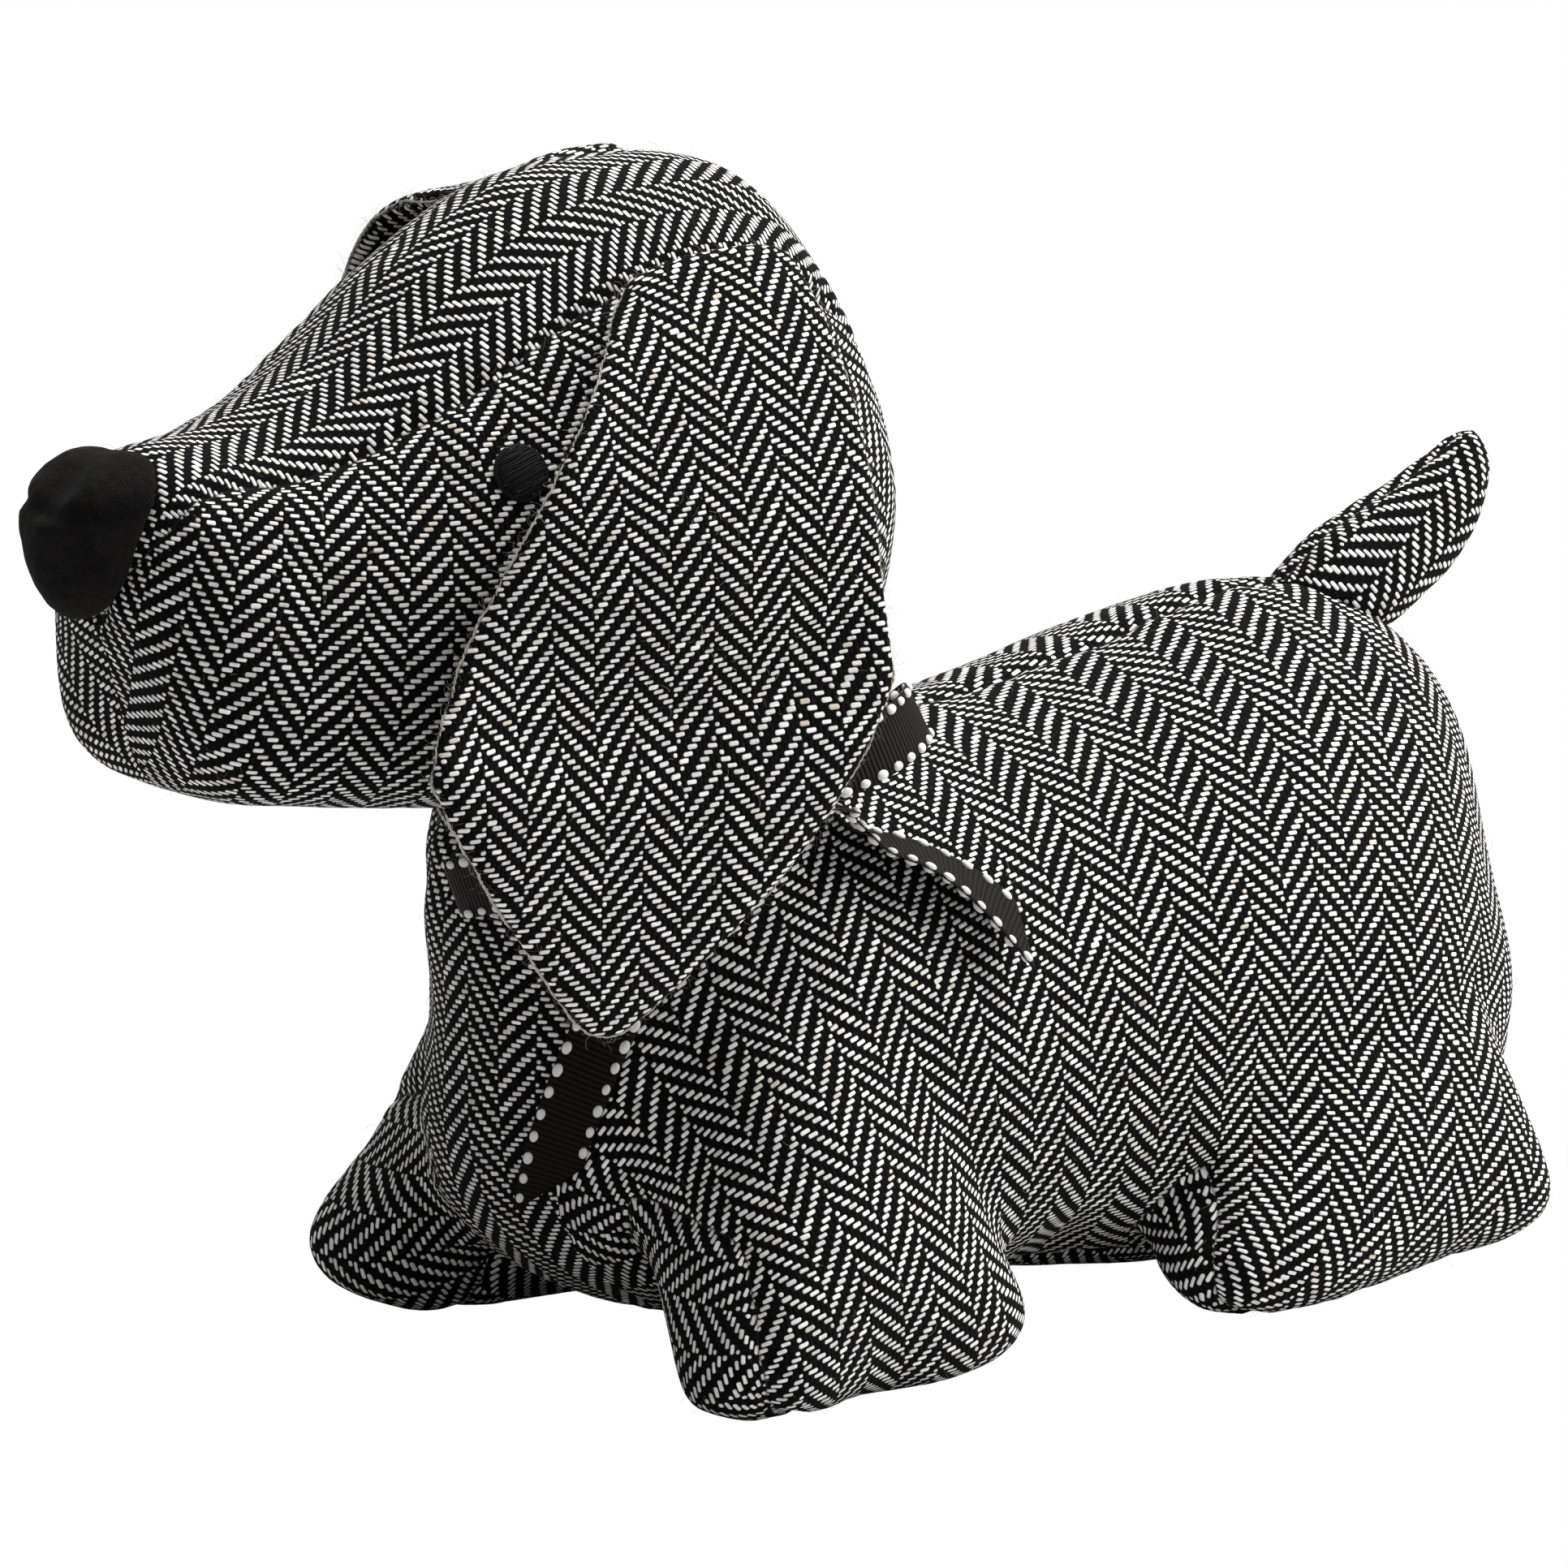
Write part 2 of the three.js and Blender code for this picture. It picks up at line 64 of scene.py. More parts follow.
def normals(piece):
    flat = np.empty(len(piece.data.vertices) * 3, np.float32)
    piece.data.vertices.foreach_get("normal", flat)
    return flat.reshape(-1, 3).astype(np.float64)


def linked(name, mesh):
    piece = bpy.data.objects.new(name, mesh)
    scene.collection.objects.link(piece)
    return piece


def applied(piece):
    graph = bpy.context.evaluated_depsgraph_get()
    solved = piece.evaluated_get(graph)
    mesh = bpy.data.meshes.new_from_object(solved, preserve_all_data_layers=True, depsgraph=graph)
    mesh.name = piece.name
    piece.modifiers.clear()
    old = piece.data
    piece.data = mesh
    bpy.data.meshes.remove(old)
    return piece


def copyOf(nodeName, name):
    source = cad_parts[nodeName]
    mesh = source.data.copy()
    mesh.materials.clear()
    for layer in list(mesh.uv_layers):
        mesh.uv_layers.remove(layer)
    bm = bmesh.new()
    bm.from_mesh(mesh)
    bmesh.ops.remove_doubles(bm, verts=bm.verts, dist=1e-6)
    bm.to_mesh(mesh)
    bm.free()
    return linked(name, mesh)


def facesOutwards(mesh):
    bm = bmesh.new()
    bm.from_mesh(mesh)
    bmesh.ops.recalc_face_normals(bm, faces=bm.faces)
    bm.to_mesh(mesh)
    bm.free()


# Gives each corner the flat place of its vertex.
def setWeave(mesh, flat):
    layer = mesh.uv_layers.new(name="weave")
    order = np.empty(len(mesh.loops), np.int32)
    mesh.loops.foreach_get("vertex_index", order)
    layer.data.foreach_set("uv", np.asarray(flat, np.float32)[order].ravel())


def remeshed(piece, voxel, smoothing):
    remesh = piece.modifiers.new("remesh", "REMESH")
    remesh.mode = "VOXEL"
    remesh.voxel_size = voxel * 0.001
    smooth = piece.modifiers.new("smooth", "SMOOTH")
    smooth.factor = 0.5
    smooth.iterations = smoothing
    return applied(piece)


def subdivided(piece, levels=1):
    subdivide = piece.modifiers.new("subdivide", "SUBSURF")
    subdivide.levels = levels
    subdivide.render_levels = levels
    subdivide.uv_smooth = "PRESERVE_BOUNDARIES"
    return applied(piece)


def shadeSmooth(piece):
    piece.data.polygons.foreach_set("use_smooth", [True] * len(piece.data.polygons))
    piece.data.update()


def smoothstep(value, low, high):
    t = np.clip((value - low) / (high - low), 0, 1)
    return t * t * (3 - 2 * t)


woolCloth = {"quality": 4, "mass": 0.15, "tension_stiffness": 40, "compression_stiffness": 40,
             "shear_stiffness": 20, "bending_stiffness": 1.5}


# The stuffing presses the cloth out and the loose cloth between the seams wrinkles, by no more than cap. Where
# share is below 1, the cloth is held back.
def stuffed(piece, pressure, looseness, cap, share=None, frames=20):
    start = toArray(piece)
    cloth = piece.modifiers.new("cloth", "CLOTH")
    settings = cloth.settings
    for key, value in woolCloth.items():
        setattr(settings, key, value)
    settings.use_pressure = True
    settings.uniform_pressure_force = pressure
    settings.shrink_min = -looseness
    settings.shrink_max = -looseness
    settings.effector_weights.gravity = 0
    cloth.collision_settings.use_collision = False
    cloth.point_cache.frame_start = 1
    cloth.point_cache.frame_end = frames
    for step in range(1, frames + 1):
        scene.frame_set(step)
        bpy.context.view_layer.update()
    applied(piece)
    scene.frame_set(1)
    move = toArray(piece) - start
    move -= move.mean(0)
    length = np.linalg.norm(move, axis=1, keepdims=True)
    move *= np.minimum(1, cap * 0.001 / np.maximum(length, 1e-9))
    if share is not None:
        move *= share(start)[:, None]
    fromArray(piece, start + move)
    return piece


# Cuts edges into a mesh along the places where a function of position is zero, and marks them as seams.
def cutSeam(piece, shape, within=None):
    bm = bmesh.new()
    bm.from_mesh(piece.data)
    bm.verts.ensure_lookup_table()
    points = np.array([v.co for v in bm.verts])
    values = shape(points)
    layer = bm.verts.layers.float_vector.new("kept")
    for vert, value in zip(bm.verts, values):
        vert[layer] = vert.co
        vert.co.x = value
        vert.co.y = 0
        vert.co.z = 0
    chosen = list(bm.faces)
    if within is not None:
        inside = within(points)
        chosen = [f for f in bm.faces if all(inside[v.index] for v in f.verts)]
    edges = list({e for f in chosen for e in f.edges})
    verts = list({v for f in chosen for v in f.verts})
    cut = bmesh.ops.bisect_plane(bm, geom=verts + edges + chosen, dist=1e-7, plane_co=(0, 0, 0),
                                 plane_no=(1, 0, 0))
    for item in cut["geom_cut"]:
        if isinstance(item, bmesh.types.BMEdge):
            item.seam = True
    for vert in bm.verts:
        vert.co = vert[layer]
    bm.verts.layers.float_vector.remove(layer)
    bmesh.ops.triangulate(bm, faces=[f for f in bm.faces if len(f.verts) > 4])
    bm.to_mesh(piece.data)
    bm.free()
    return piece


# The faces of each panel, which end at the seams.
def panelsOf(bm):
    panelOf = [-1] * len(bm.faces)
    panels = []
    for first in bm.faces:
        if panelOf[first.index] >= 0:
            continue
        stack = [first]
        panelOf[first.index] = len(panels)
        while stack:
            face = stack.pop()
            for edge in face.edges:
                if edge.seam:
                    continue
                for other in edge.link_faces:
                    if panelOf[other.index] < 0:
                        panelOf[other.index] = len(panels)
                        stack.append(other)
        panels.append([])
    for face in bm.faces:
        panels[panelOf[face.index]].append(face)
    return panels


# Lays the panels between the seams flat. For the middle of a panel, grain gives the direction of its rows of
# weave and the way that most of it faces. Lengths on the flat cloth are those on the piece.
def layFlat(piece, grain):
    bpy.context.view_layer.objects.active = piece
    piece.select_set(True)
    piece.data.uv_layers.new(name="weave")
    bpy.ops.object.mode_set(mode="EDIT")
    bpy.ops.mesh.select_all(action="SELECT")
    bpy.ops.uv.unwrap(method="MINIMUM_STRETCH", margin=0.001, iterations=12)
    bpy.ops.object.mode_set(mode="OBJECT")
    piece.select_set(False)
    bm = bmesh.new()
    bm.from_mesh(piece.data)
    bm.faces.ensure_lookup_table()
    uvLayer = bm.loops.layers.uv.active
    for faces in panelsOf(bm):
        middle = sum((f.calc_center_median() for f in faces), Vector()) / len(faces)
        row, facing = (Vector(way) for way in grain(middle))
        turn = complex(0, 0)
        solidArea = flatArea = 0
        for face in faces:
            a, b, c = face.loops[0], face.loops[1], face.loops[2]
            e1, e2 = b.vert.co - a.vert.co, c.vert.co - a.vert.co
            f1, f2 = b[uvLayer].uv - a[uvLayer].uv, c[uvLayer].uv - a[uvLayer].uv
            cross = e1.cross(e2)
            area = cross.length / 2
            flat = (f1.x * f2.y - f1.y * f2.x) / 2
            if area < 1e-12:
                continue
            solidArea += area
            flatArea += abs(flat)
            gram = e1.dot(e1) * e2.dot(e2) - e1.dot(e2) ** 2
            d1, d2 = row.dot(e1), row.dot(e2)
            s = (d1 * e2.dot(e2) - d2 * e1.dot(e2)) / gram
            t = (d2 * e1.dot(e1) - d1 * e1.dot(e2)) / gram
            way = f1 * s + f2 * t
            turn += complex(way.x, way.y) * area * abs(facing.dot(cross.normalized())) ** 6
        size = math.sqrt(solidArea / flatArea)
        angle = -math.atan2(turn.imag, turn.real)
        cosine, sine = math.cos(angle) * size, math.sin(angle) * size
        for face in faces:
            for loop in face.loops:
                x, y = loop[uvLayer].uv
                loop[uvLayer].uv = (x * cosine - y * sine, x * sine + y * cosine)
    bm.to_mesh(piece.data)
    bm.free()
    return piece


# How far each point is from the nearest seam, and where on that seam. Seams where the weave is matched are
# left out.
def seamReach(piece, matched=None):
    points = toArray(piece)
    passed = matched(points) if matched is not None else np.zeros(len(points), bool)
    ends = [edge.vertices[:] for edge in piece.data.edges if edge.use_seam]
    ends = [(a, b) for a, b in ends if not (passed[a] and passed[b])]
    samples = []
    for a, b in ends:
        samples += [points[a], points[a] * 0.67 + points[b] * 0.33, points[a] * 0.33 + points[b] * 0.67]
    tree = kdtree.KDTree(len(samples))
    for i, place in enumerate(samples):
        tree.insert(place, i)
    tree.balance()
    reach = np.empty(len(points))
    nearest = np.empty((len(points), 3))
    for i, point in enumerate(points):
        place, _, distance = tree.find(point)
        reach[i] = distance
        nearest[i] = place
    return reach, nearest


def waves(places, scale, seed):
    return np.array([noise.noise(Vector(p) * scale + Vector((seed, seed * 1.7, seed * 0.3))) for p in places])


# A seam pulls the cloth in, and the cloth beside it puckers and swells. All of it fades where keep is low.
def drawIn(piece, depth, pucker, swell, seed, keep=None, matched=None):
    reach, nearest = seamReach(piece, matched)
    ridges = waves(nearest, 190, seed)
    broad = waves(toArray(piece), 45, seed + 5)
    lift = -depth * np.exp(-(reach / 0.0016) ** 2)
    lift += pucker * ridges * np.exp(-(reach / 0.008) ** 2)
    lift += swell * np.exp(-((reach - 0.006) / 0.004) ** 2)
    lift += 0.5 * broad
    if keep is not None:
        lift *= keep(toArray(piece))
    fromArray(piece, toArray(piece) + normals(piece) * lift[:, None] * 0.001)
    store = piece.data.attributes.new("seamReach", "FLOAT", "POINT")
    store.data.foreach_set("value", reach.astype(np.float32))
    return piece


# Moves the cloth near a place, to follow how the real one is stuffed.
def nudged(piece, pushes):
    points = toArray(piece)
    moved = points.copy()
    for (x, y, z), radius, (dx, dy, dz) in pushes:
        centre = np.array([x, y, z]) * 0.001 + (footOrigin, 0, 0)
        falloff = np.exp(-(np.linalg.norm(points - centre, axis=1) / (radius * 0.001)) ** 2)
        moved += falloff[:, None] * np.array([dx, dy, dz]) * 0.001
    fromArray(piece, moved)
    return piece


# Node helpers

def put(tree, kind, inputs=None, **settings):
    node = tree.nodes.new(kind)
    for key, value in settings.items():
        setattr(node, key, value)
    for key, value in (inputs or {}).items():
        socket = node.inputs[key]
        if isinstance(value, bpy.types.NodeSocket):
            tree.links.new(value, socket)
        else:
            socket.default_value = value
    return node


def calc(tree, operation, *values):
    node = tree.nodes.new("ShaderNodeMath")
    node.operation = operation
    for socket, value in zip(node.inputs, values):
        if isinstance(value, bpy.types.NodeSocket):
            tree.links.new(value, socket)
        else:
            socket.default_value = value
    return node.outputs[0]


def plus(tree, first, second):
    return calc(tree, "ADD", first, second)


def minus(tree, first, second):
    return calc(tree, "SUBTRACT", first, second)


def times(tree, first, second):
    return calc(tree, "MULTIPLY", first, second)


def power(tree, value, exponent):
    return calc(tree, "POWER", value, exponent)


def blendColours(tree, share, first, second, mode="MIX"):
    node = put(tree, "ShaderNodeMix", data_type="RGBA", blend_type=mode)
    for socket, value in ((node.inputs[0], share), (node.inputs[6], first), (node.inputs[7], second)):
        if isinstance(value, bpy.types.NodeSocket):
            tree.links.new(value, socket)
        else:
            socket.default_value = value
    return node.outputs[2]


# Ends a material in one surface shader.
def surfaced(material, tree, surface):
    out = put(tree, "ShaderNodeOutputMaterial")
    tree.links.new(surface.outputs[0], out.inputs["Surface"])
    return material


# A colour made lighter or darker by a value.
def shaded(tree, colour, value):
    grey = put(tree, "ShaderNodeCombineColor", {"Red": value, "Green": value, "Blue": value})
    return blendColours(tree, 1.0, colour, grey.outputs[0], "MULTIPLY")


def shaderGroup(name, inputs, outputs):
    tree = bpy.data.node_groups.new(name, "ShaderNodeTree")
    for label, kind, value in inputs:
        socket = tree.interface.new_socket(label, in_out="INPUT", socket_type=kind)
        if value is not None:
            socket.default_value = value
    for label, kind in outputs:
        tree.interface.new_socket(label, in_out="OUTPUT", socket_type=kind)
    return tree, tree.nodes.new("NodeGroupInput"), tree.nodes.new("NodeGroupOutput")


def newMaterial(name):
    material = bpy.data.materials.new(name)
    material.use_nodes = True
    tree = material.node_tree
    tree.nodes.clear()
    return material, tree


# Whether the light weft lies on top of a warp end at a pick, in a herringbone twill.
def makeWeftUp():
    tree, given, result = shaderGroup(
        "weft up",
        [("End", "NodeSocketFloat", 0), ("Pick", "NodeSocketFloat", 0),
         ("Ends in a column", "NodeSocketFloat", 8)],
        [("Up", "NodeSocketFloat")])
    end, pick, ends = given.outputs[:3]
    place = calc(tree, "FLOORED_MODULO", end, times(tree, ends, 2))
    mirrored = calc(tree, "GREATER_THAN", place, minus(tree, ends, 0.5))
    back = minus(tree, 1, place)
    step = plus(tree, place, times(tree, mirrored, minus(tree, back, place)))
    turn = calc(tree, "FLOORED_MODULO", plus(tree, plus(tree, step, pick), 0.25), 4)
    tree.links.new(calc(tree, "LESS_THAN", turn, 2), result.inputs["Up"])
    return tree


# Herringbone wool: dark warp ends that run along V and light weft floats over two of them.
def makeHerringbone(weftUp):
    tree, given, result = shaderGroup(
        "herringbone",
        [("Flat place", "NodeSocketVector", None), ("End pitch", "NodeSocketFloat", 0.001045),
         ("Pick pitch", "NodeSocketFloat", 0.00109), ("Ends in a column", "NodeSocketFloat", 8),
         ("Float thickness", "NodeSocketFloat", 0.365), ("Tilt", "NodeSocketFloat", 0.07),
         ("Light yarn", "NodeSocketColor", (0.93, 0.91, 0.88, 1)),
         ("Dark yarn", "NodeSocketColor", (0.0014, 0.0014, 0.0016, 1))],
        [("Color", "NodeSocketColor"), ("Height", "NodeSocketFloat")])
    flat, endPitch, pickPitch, ends, thick, tilt, light, dark = given.outputs[:8]
    split = put(tree, "ShaderNodeSeparateXYZ", {"Vector": flat})
    wander = put(tree, "ShaderNodeTexNoise", {"Vector": flat, "Scale": 110.0, "Detail": 1.0})
    sway = put(tree, "ShaderNodeSeparateColor", {"Color": wander.outputs["Color"]})
    u = plus(tree, calc(tree, "DIVIDE", split.outputs[0], endPitch),
             times(tree, minus(tree, sway.outputs[0], 0.5), 0.9))
    v = plus(tree, calc(tree, "DIVIDE", split.outputs[1], pickPitch),
             times(tree, minus(tree, sway.outputs[1], 0.5), 0.9))
    end, pick = calc(tree, "FLOOR", u), calc(tree, "FLOOR", v)
    inEnd, inPick = calc(tree, "FRACT", u), calc(tree, "FRACT", v)

    def up(offset):
        node = put(tree, "ShaderNodeGroup", node_tree=weftUp)
        tree.links.new(plus(tree, end, offset), node.inputs["End"])
        tree.links.new(pick, node.inputs["Pick"])
        tree.links.new(ends, node.inputs["Ends in a column"])
        return node.outputs["Up"]

    isLight, before, after = up(0), up(-1), up(1)
    # The place along a float, from -1 to 1, and how far past its straight part a point is.
    middle = times(tree, minus(tree, after, before), 0.5)
    along = minus(tree, minus(tree, inEnd, 0.5), middle)
    across = minus(tree, minus(tree, inPick, 0.5), times(tree, along, tilt))
    pastLeft = times(tree, minus(tree, 1, before),
                    calc(tree, "MAXIMUM", minus(tree, 0.42, inEnd), 0))
    pastRight = times(tree, minus(tree, 1, after),
                     calc(tree, "MAXIMUM", minus(tree, inEnd, 0.58), 0))
    past = calc(tree, "MAXIMUM", pastLeft, pastRight)
    # Each float has its own thickness and lightness, and a slub now and then makes a run of them thicker.
    floatEnd = calc(tree, "FLOOR", plus(tree, plus(tree, end, middle), 0.25))
    floatPlace = put(tree, "ShaderNodeCombineXYZ", {"X": floatEnd, "Y": pick, "Z": 0.0})
    dice = put(tree, "ShaderNodeTexWhiteNoise", {"Vector": floatPlace.outputs[0]}, noise_dimensions="3D")
    chance = put(tree, "ShaderNodeSeparateColor", {"Color": dice.outputs["Color"]})
    stretched = put(tree, "ShaderNodeVectorMath", {0: flat, 1: (90.0, 950.0, 1.0)}, operation="MULTIPLY")
    slubNoise = put(tree, "ShaderNodeTexNoise", {"Vector": stretched.outputs[0], "Scale": 1.0, "Detail": 1.0})
    slub = put(tree, "ShaderNodeMapRange", {
        "Value": slubNoise.outputs["Fac"], "From Min": 0.64, "From Max": 0.76}).outputs[0]
    width = plus(tree, thick, times(tree, minus(tree, chance.outputs[0], 0.5), 0.1))
    width = plus(tree, width, times(tree, slub, 0.16))
    reach = calc(tree, "DIVIDE", calc(tree, "SQRT", plus(tree, power(tree, across, 2),
                 power(tree, times(tree, past, 0.95), 2))), width)
    roundness = minus(tree, 1, power(tree, reach, 2))
    roundness = calc(tree, "SQRT", calc(tree, "MAXIMUM", roundness, 0))
    edge = put(tree, "ShaderNodeMapRange", {"Value": reach, "From Min": 1.0, "From Max": 0.84})
    lightShare = times(tree, edge.outputs[0], isLight)
    # Twisted fibres streak both yarns.
    streakPlace = put(tree, "ShaderNodeVectorMath", {0: flat, 1: (1500.0, 6500.0, 1.0)}, operation="MULTIPLY")
    streak = put(tree, "ShaderNodeTexNoise", {"Vector": streakPlace.outputs[0], "Scale": 1.0, "Detail": 2.0})
    fibre = put(tree, "ShaderNodeTexNoise", {
        "Vector": flat, "Scale": 2600.0, "Detail": 3.0, "Distortion": 2.0})
    streaked = minus(tree, streak.outputs["Fac"], 0.5)
    toneAndShade = plus(tree, 0.62, times(tree, chance.outputs[1], 0.3))
    toneAndShade = plus(tree, toneAndShade, times(tree, streaked, 0.7))
    toneAndShade = plus(tree, toneAndShade, times(tree, slub, 0.25))
    # Each float is painted darker towards its edges than along its crown: painted shade on the round yarn,
    # over its own tone.
    toneAndShade = times(tree, toneAndShade, plus(tree, 0.6, times(tree, roundness, 0.5)))
    lightYarn = shaded(tree, light, toneAndShade)
    fromMiddle = times(tree, minus(tree, inEnd, 0.5), 2.05)
    warpRound = minus(tree, 1, power(tree, fromMiddle, 2))
    warpRound = calc(tree, "SQRT", calc(tree, "MAXIMUM", warpRound, 0))
    stray = put(tree, "ShaderNodeMapRange", {
        "Value": fibre.outputs["Fac"], "From Min": 0.56, "From Max": 0.78})
    greyed = times(tree, stray.outputs[0], 0.1)
    darkYarn = blendColours(tree, greyed, dark, (0.35, 0.34, 0.33, 1))
    stained = put(tree, "ShaderNodeMapRange", {
        "Value": chance.outputs[2], "From Min": 0.95, "From Max": 0.99, "To Max": 0.5})
    lightYarn = blendColours(tree, stained.outputs[0], lightYarn, (0.5, 0.4, 0.3, 1))
    colour = blendColours(tree, lightShare, darkYarn, lightYarn)
    low = times(tree, warpRound, 0.45)
    high = plus(tree, 0.45, times(tree, roundness, 0.55))
    height = plus(tree, low, times(tree, lightShare, minus(tree, high, low)))
    height = plus(tree, height, times(tree, streak.outputs["Fac"], 0.12))
    tree.links.new(colour, result.inputs["Color"])
    tree.links.new(height, result.inputs["Height"])
    return tree


def makeWool(herringbone):
    material, tree = newMaterial("herringbone wool")
    flat = put(tree, "ShaderNodeUVMap", uv_map="weave")
    weave = put(tree, "ShaderNodeGroup", node_tree=herringbone)
    tree.links.new(flat.outputs[0], weave.inputs["Flat place"])
    reach = put(tree, "ShaderNodeAttribute", attribute_name="seamReach")
    seam = put(tree, "ShaderNodeMapRange", {
        "Value": reach.outputs["Fac"], "From Min": 0.0005, "From Max": 0.0001})
    shadow = times(tree, seam.outputs[0], 0.6)
    colour = blendColours(tree, shadow, weave.outputs["Color"], (0.012, 0.012, 0.012, 1))
    bump = put(tree, "ShaderNodeBump", {
        "Height": weave.outputs["Height"], "Strength": 0.8, "Distance": 0.0004})
    surface = put(tree, "ShaderNodeBsdfPrincipled", {
        "Base Color": colour, "Roughness": 0.9, "Specular IOR Level": 0.03, "Sheen Weight": 0.01,
        "Sheen Roughness": 0.6, "Normal": bump.outputs[0]})
    return surfaced(material, tree, surface)


wool = makeWool(makeHerringbone(makeWeftUp()))


def clad(piece, material, slot, *nodes):
    piece.data.materials.clear()
    piece.data.materials.append(material)
    shadeSmooth(piece)
    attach(piece, "root")
    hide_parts(*nodes)


def along(points):
    return (points[:, 0] - footOrigin) * 1000


def interpolate(rows, values):
    return np.interp(values, [r[0] for r in rows], [r[1] for r in rows])


# Body: two side panels that meet along the back, a chest panel and a neck panel between them, the fronts of
# the front legs, and an underbody panel with the inner legs. A leg's row is [height, half length, half width,
# how far in, how far back]. Its pairs are for the left leg and the right one: how far out it stands, and how
# far the underbody panel reaches along it, round its front and up. A push is [place, radius, move].
bodyForm = {
    "voxel": 3.2,
    "smoothing": 8,
    "stuffing": {"pressure": 3.0, "looseness": 0.015, "cap": 3.5},
    "seam": {"depth": 1.0, "pucker": 0.7, "swell": 0.4, "seed": 1},
    "legRound": 2.6,
    "legs": [
        {"x": 0, "toeOut": 7, "spread": (50, 43.5), "edge": (1.12, 1.28), "round": (12, 26), "top": (38, 52),
         "rows": [(0, 32, 12, 0, 5), (2, 39, 15, 0, 5), (9, 41.5, 18, 0, 5.5), (20, 37, 21, 3, 3),
                  (32, 32.5, 24, 9, 3), (44, 31, 25, 16, 5), (62, 31, 24, 23, 7)]},
        {"x": 126.5, "toeOut": 10, "spread": (50, 50), "edge": (1.12, 1.12), "round": (5, 5), "top": (46, 46),
         "rows": [(0, 40, 11, 0, -1), (2, 47, 14, 0, -1), (9, 49.5, 17.5, 0, -1), (20, 44, 21, 4, 0.5),
                  (34, 38, 24, 13, 2), (48, 33, 22, 22, 4)]},
    ],
    "pushes": [
        ((46, -44, 12), 9, (-4, 0.5, 0)), ((44, -44, 2), 7, (2.5, 0, 0)), ((-36, -54, 4), 8, (-1.5, -1, 0)),
        ((0, -67, 4), 14, (0, 3, 1)), ((125, -66, 3), 30, (0, 1.5, 0)), ((65, -46, 5), 18, (0, 3, 4)),
        ((65, -15, 0), 26, (0, 0, 5)), ((28, -60, 3), 12, (0, -1.2, 0)), ((150, -62, 3), 18, (0, 1.5, 1)),
        ((-34, 62, 14), 12, (-4, 2, 1)), ((-40, 48, 42), 16, (5, -1, 0)), ((-40, 50, 2), 18, (0, 0, 2)),
        ((-36, 26, 62), 18, (3, -1.5, 0)), ((-36, 20, 92), 14, (-2, 1, 0)),
        ((175, -36, 40), 18, (2.2, -1.8, 0)), ((178, -30, 72), 18, (-2.2, 1, 0)),
        ((166, -60, 6), 12, (2, -1, 0)),
    ],
    "bellyTop": 9,
    "bellyHalf": 40,
    "neckLine": 111,
    "neckSlope": 0.27,
    "neckReach": 46,
    "chestSeam": 34,  # how far out the seam beside the chest lies on the far side
    "chestFrom": -14,
    "chestNear": [(15, 16), (38, 18.5), (53, 22.5), (69, 27), (85, 30), (120, 30)],  # [height, how far out]
    "legFront": -16,
}


# Above zero on the belly and on the inner side of each leg, in metres.
def underbody(points):
    x, y, z = along(points), points[:, 1] * 1000, points[:, 2] * 1000
    inside = np.minimum(bodyForm["bellyHalf"] - np.abs(y), bodyForm["bellyTop"] - z)
    for leg in bodyForm["legs"]:
        heights, *columns = zip(*leg["rows"])
        halfLength, halfWidth, inwards, backwards = (np.interp(z, heights, column) for column in columns)
        turn = math.radians(leg["toeOut"])
        pairs = zip((-1, 1), leg["spread"], leg["edge"], leg["round"], leg["top"])
        for side, spread, edge, comesRound, top in pairs:
            dx, dy = x - leg["x"] - backwards, y * side - (spread - inwards)
            lengthways = dx * math.cos(turn) - dy * math.sin(turn)
            outwards = dx * math.sin(turn) + dy * math.cos(turn)
            legRound = bodyForm["legRound"]
            size = np.abs(lengthways / halfLength) ** legRound + np.abs(outwards / halfWidth) ** legRound
            size = size ** (1 / legRound)
            chest = smoothstep(x, -32, -18) * (1 - smoothstep(x, -14, 2)) * 14
            onLeg = np.minimum((edge - size) * 22, top - chest - z)
            front = comesRound * smoothstep(-lengthways / halfLength, 0.35, 0.95)
            inside = np.maximum(inside, np.minimum(front - outwards, np.where(y * side > 0, onLeg, -20)))
    return inside * 0.001


# Above zero on the part of the neck that the head covers.
def neckTop(points):
    x, y, z = along(points), points[:, 1] * 1000, points[:, 2] * 1000
    above = z - bodyForm["neckLine"] - bodyForm["neckSlope"] * x
    return np.minimum(above, bodyForm["neckReach"] - np.hypot(x + 3, y)) * 0.001


# The seam runs along the middle of the back and down the far side of the chest.
def middleSeam(points):
    share = 1 - smoothstep(along(points), bodyForm["chestFrom"] - 16, bodyForm["chestFrom"])
    return points[:, 1] - share * bodyForm["chestSeam"] * 0.001


# Zero along the near edge of the chest panel, which is matched to the side so that no seam shows.
def chestEdge(points):
    return points[:, 1] + interpolate(bodyForm["chestNear"], points[:, 2] * 1000) * 0.001


def onChest(points):
    back = np.where(points[:, 2] < 0.03, 25, bodyForm["chestFrom"])
    return (along(points) < back) & (underbody(points) < 0.002) & (neckTop(points) < 0.002)


# The rows of weave and the facing of a body panel, told apart by the place of its middle: the fronts of the
# front legs, the chest, the underbody, and then the sides and the neck.
def bodyGrain(middle):
    inFront = middle.x - footOrigin < -0.015
    if inFront and middle.z < 0.04:
        return (0, 0, 1), (1, 0, 0)
    if inFront:
        return (0, -1, 0), (1, 0, 0)
    if middle.z < 0.045 and abs(middle.y) < 0.02:
        return (0, 1, 0), (0, 0, 1)
    return (1, 0, 0), (0, 1, 0)


def aboveFloor(piece):
    points = toArray(piece)
    points[:, 2] = np.maximum(points[:, 2], 0.0002)
    fromArray(piece, points)


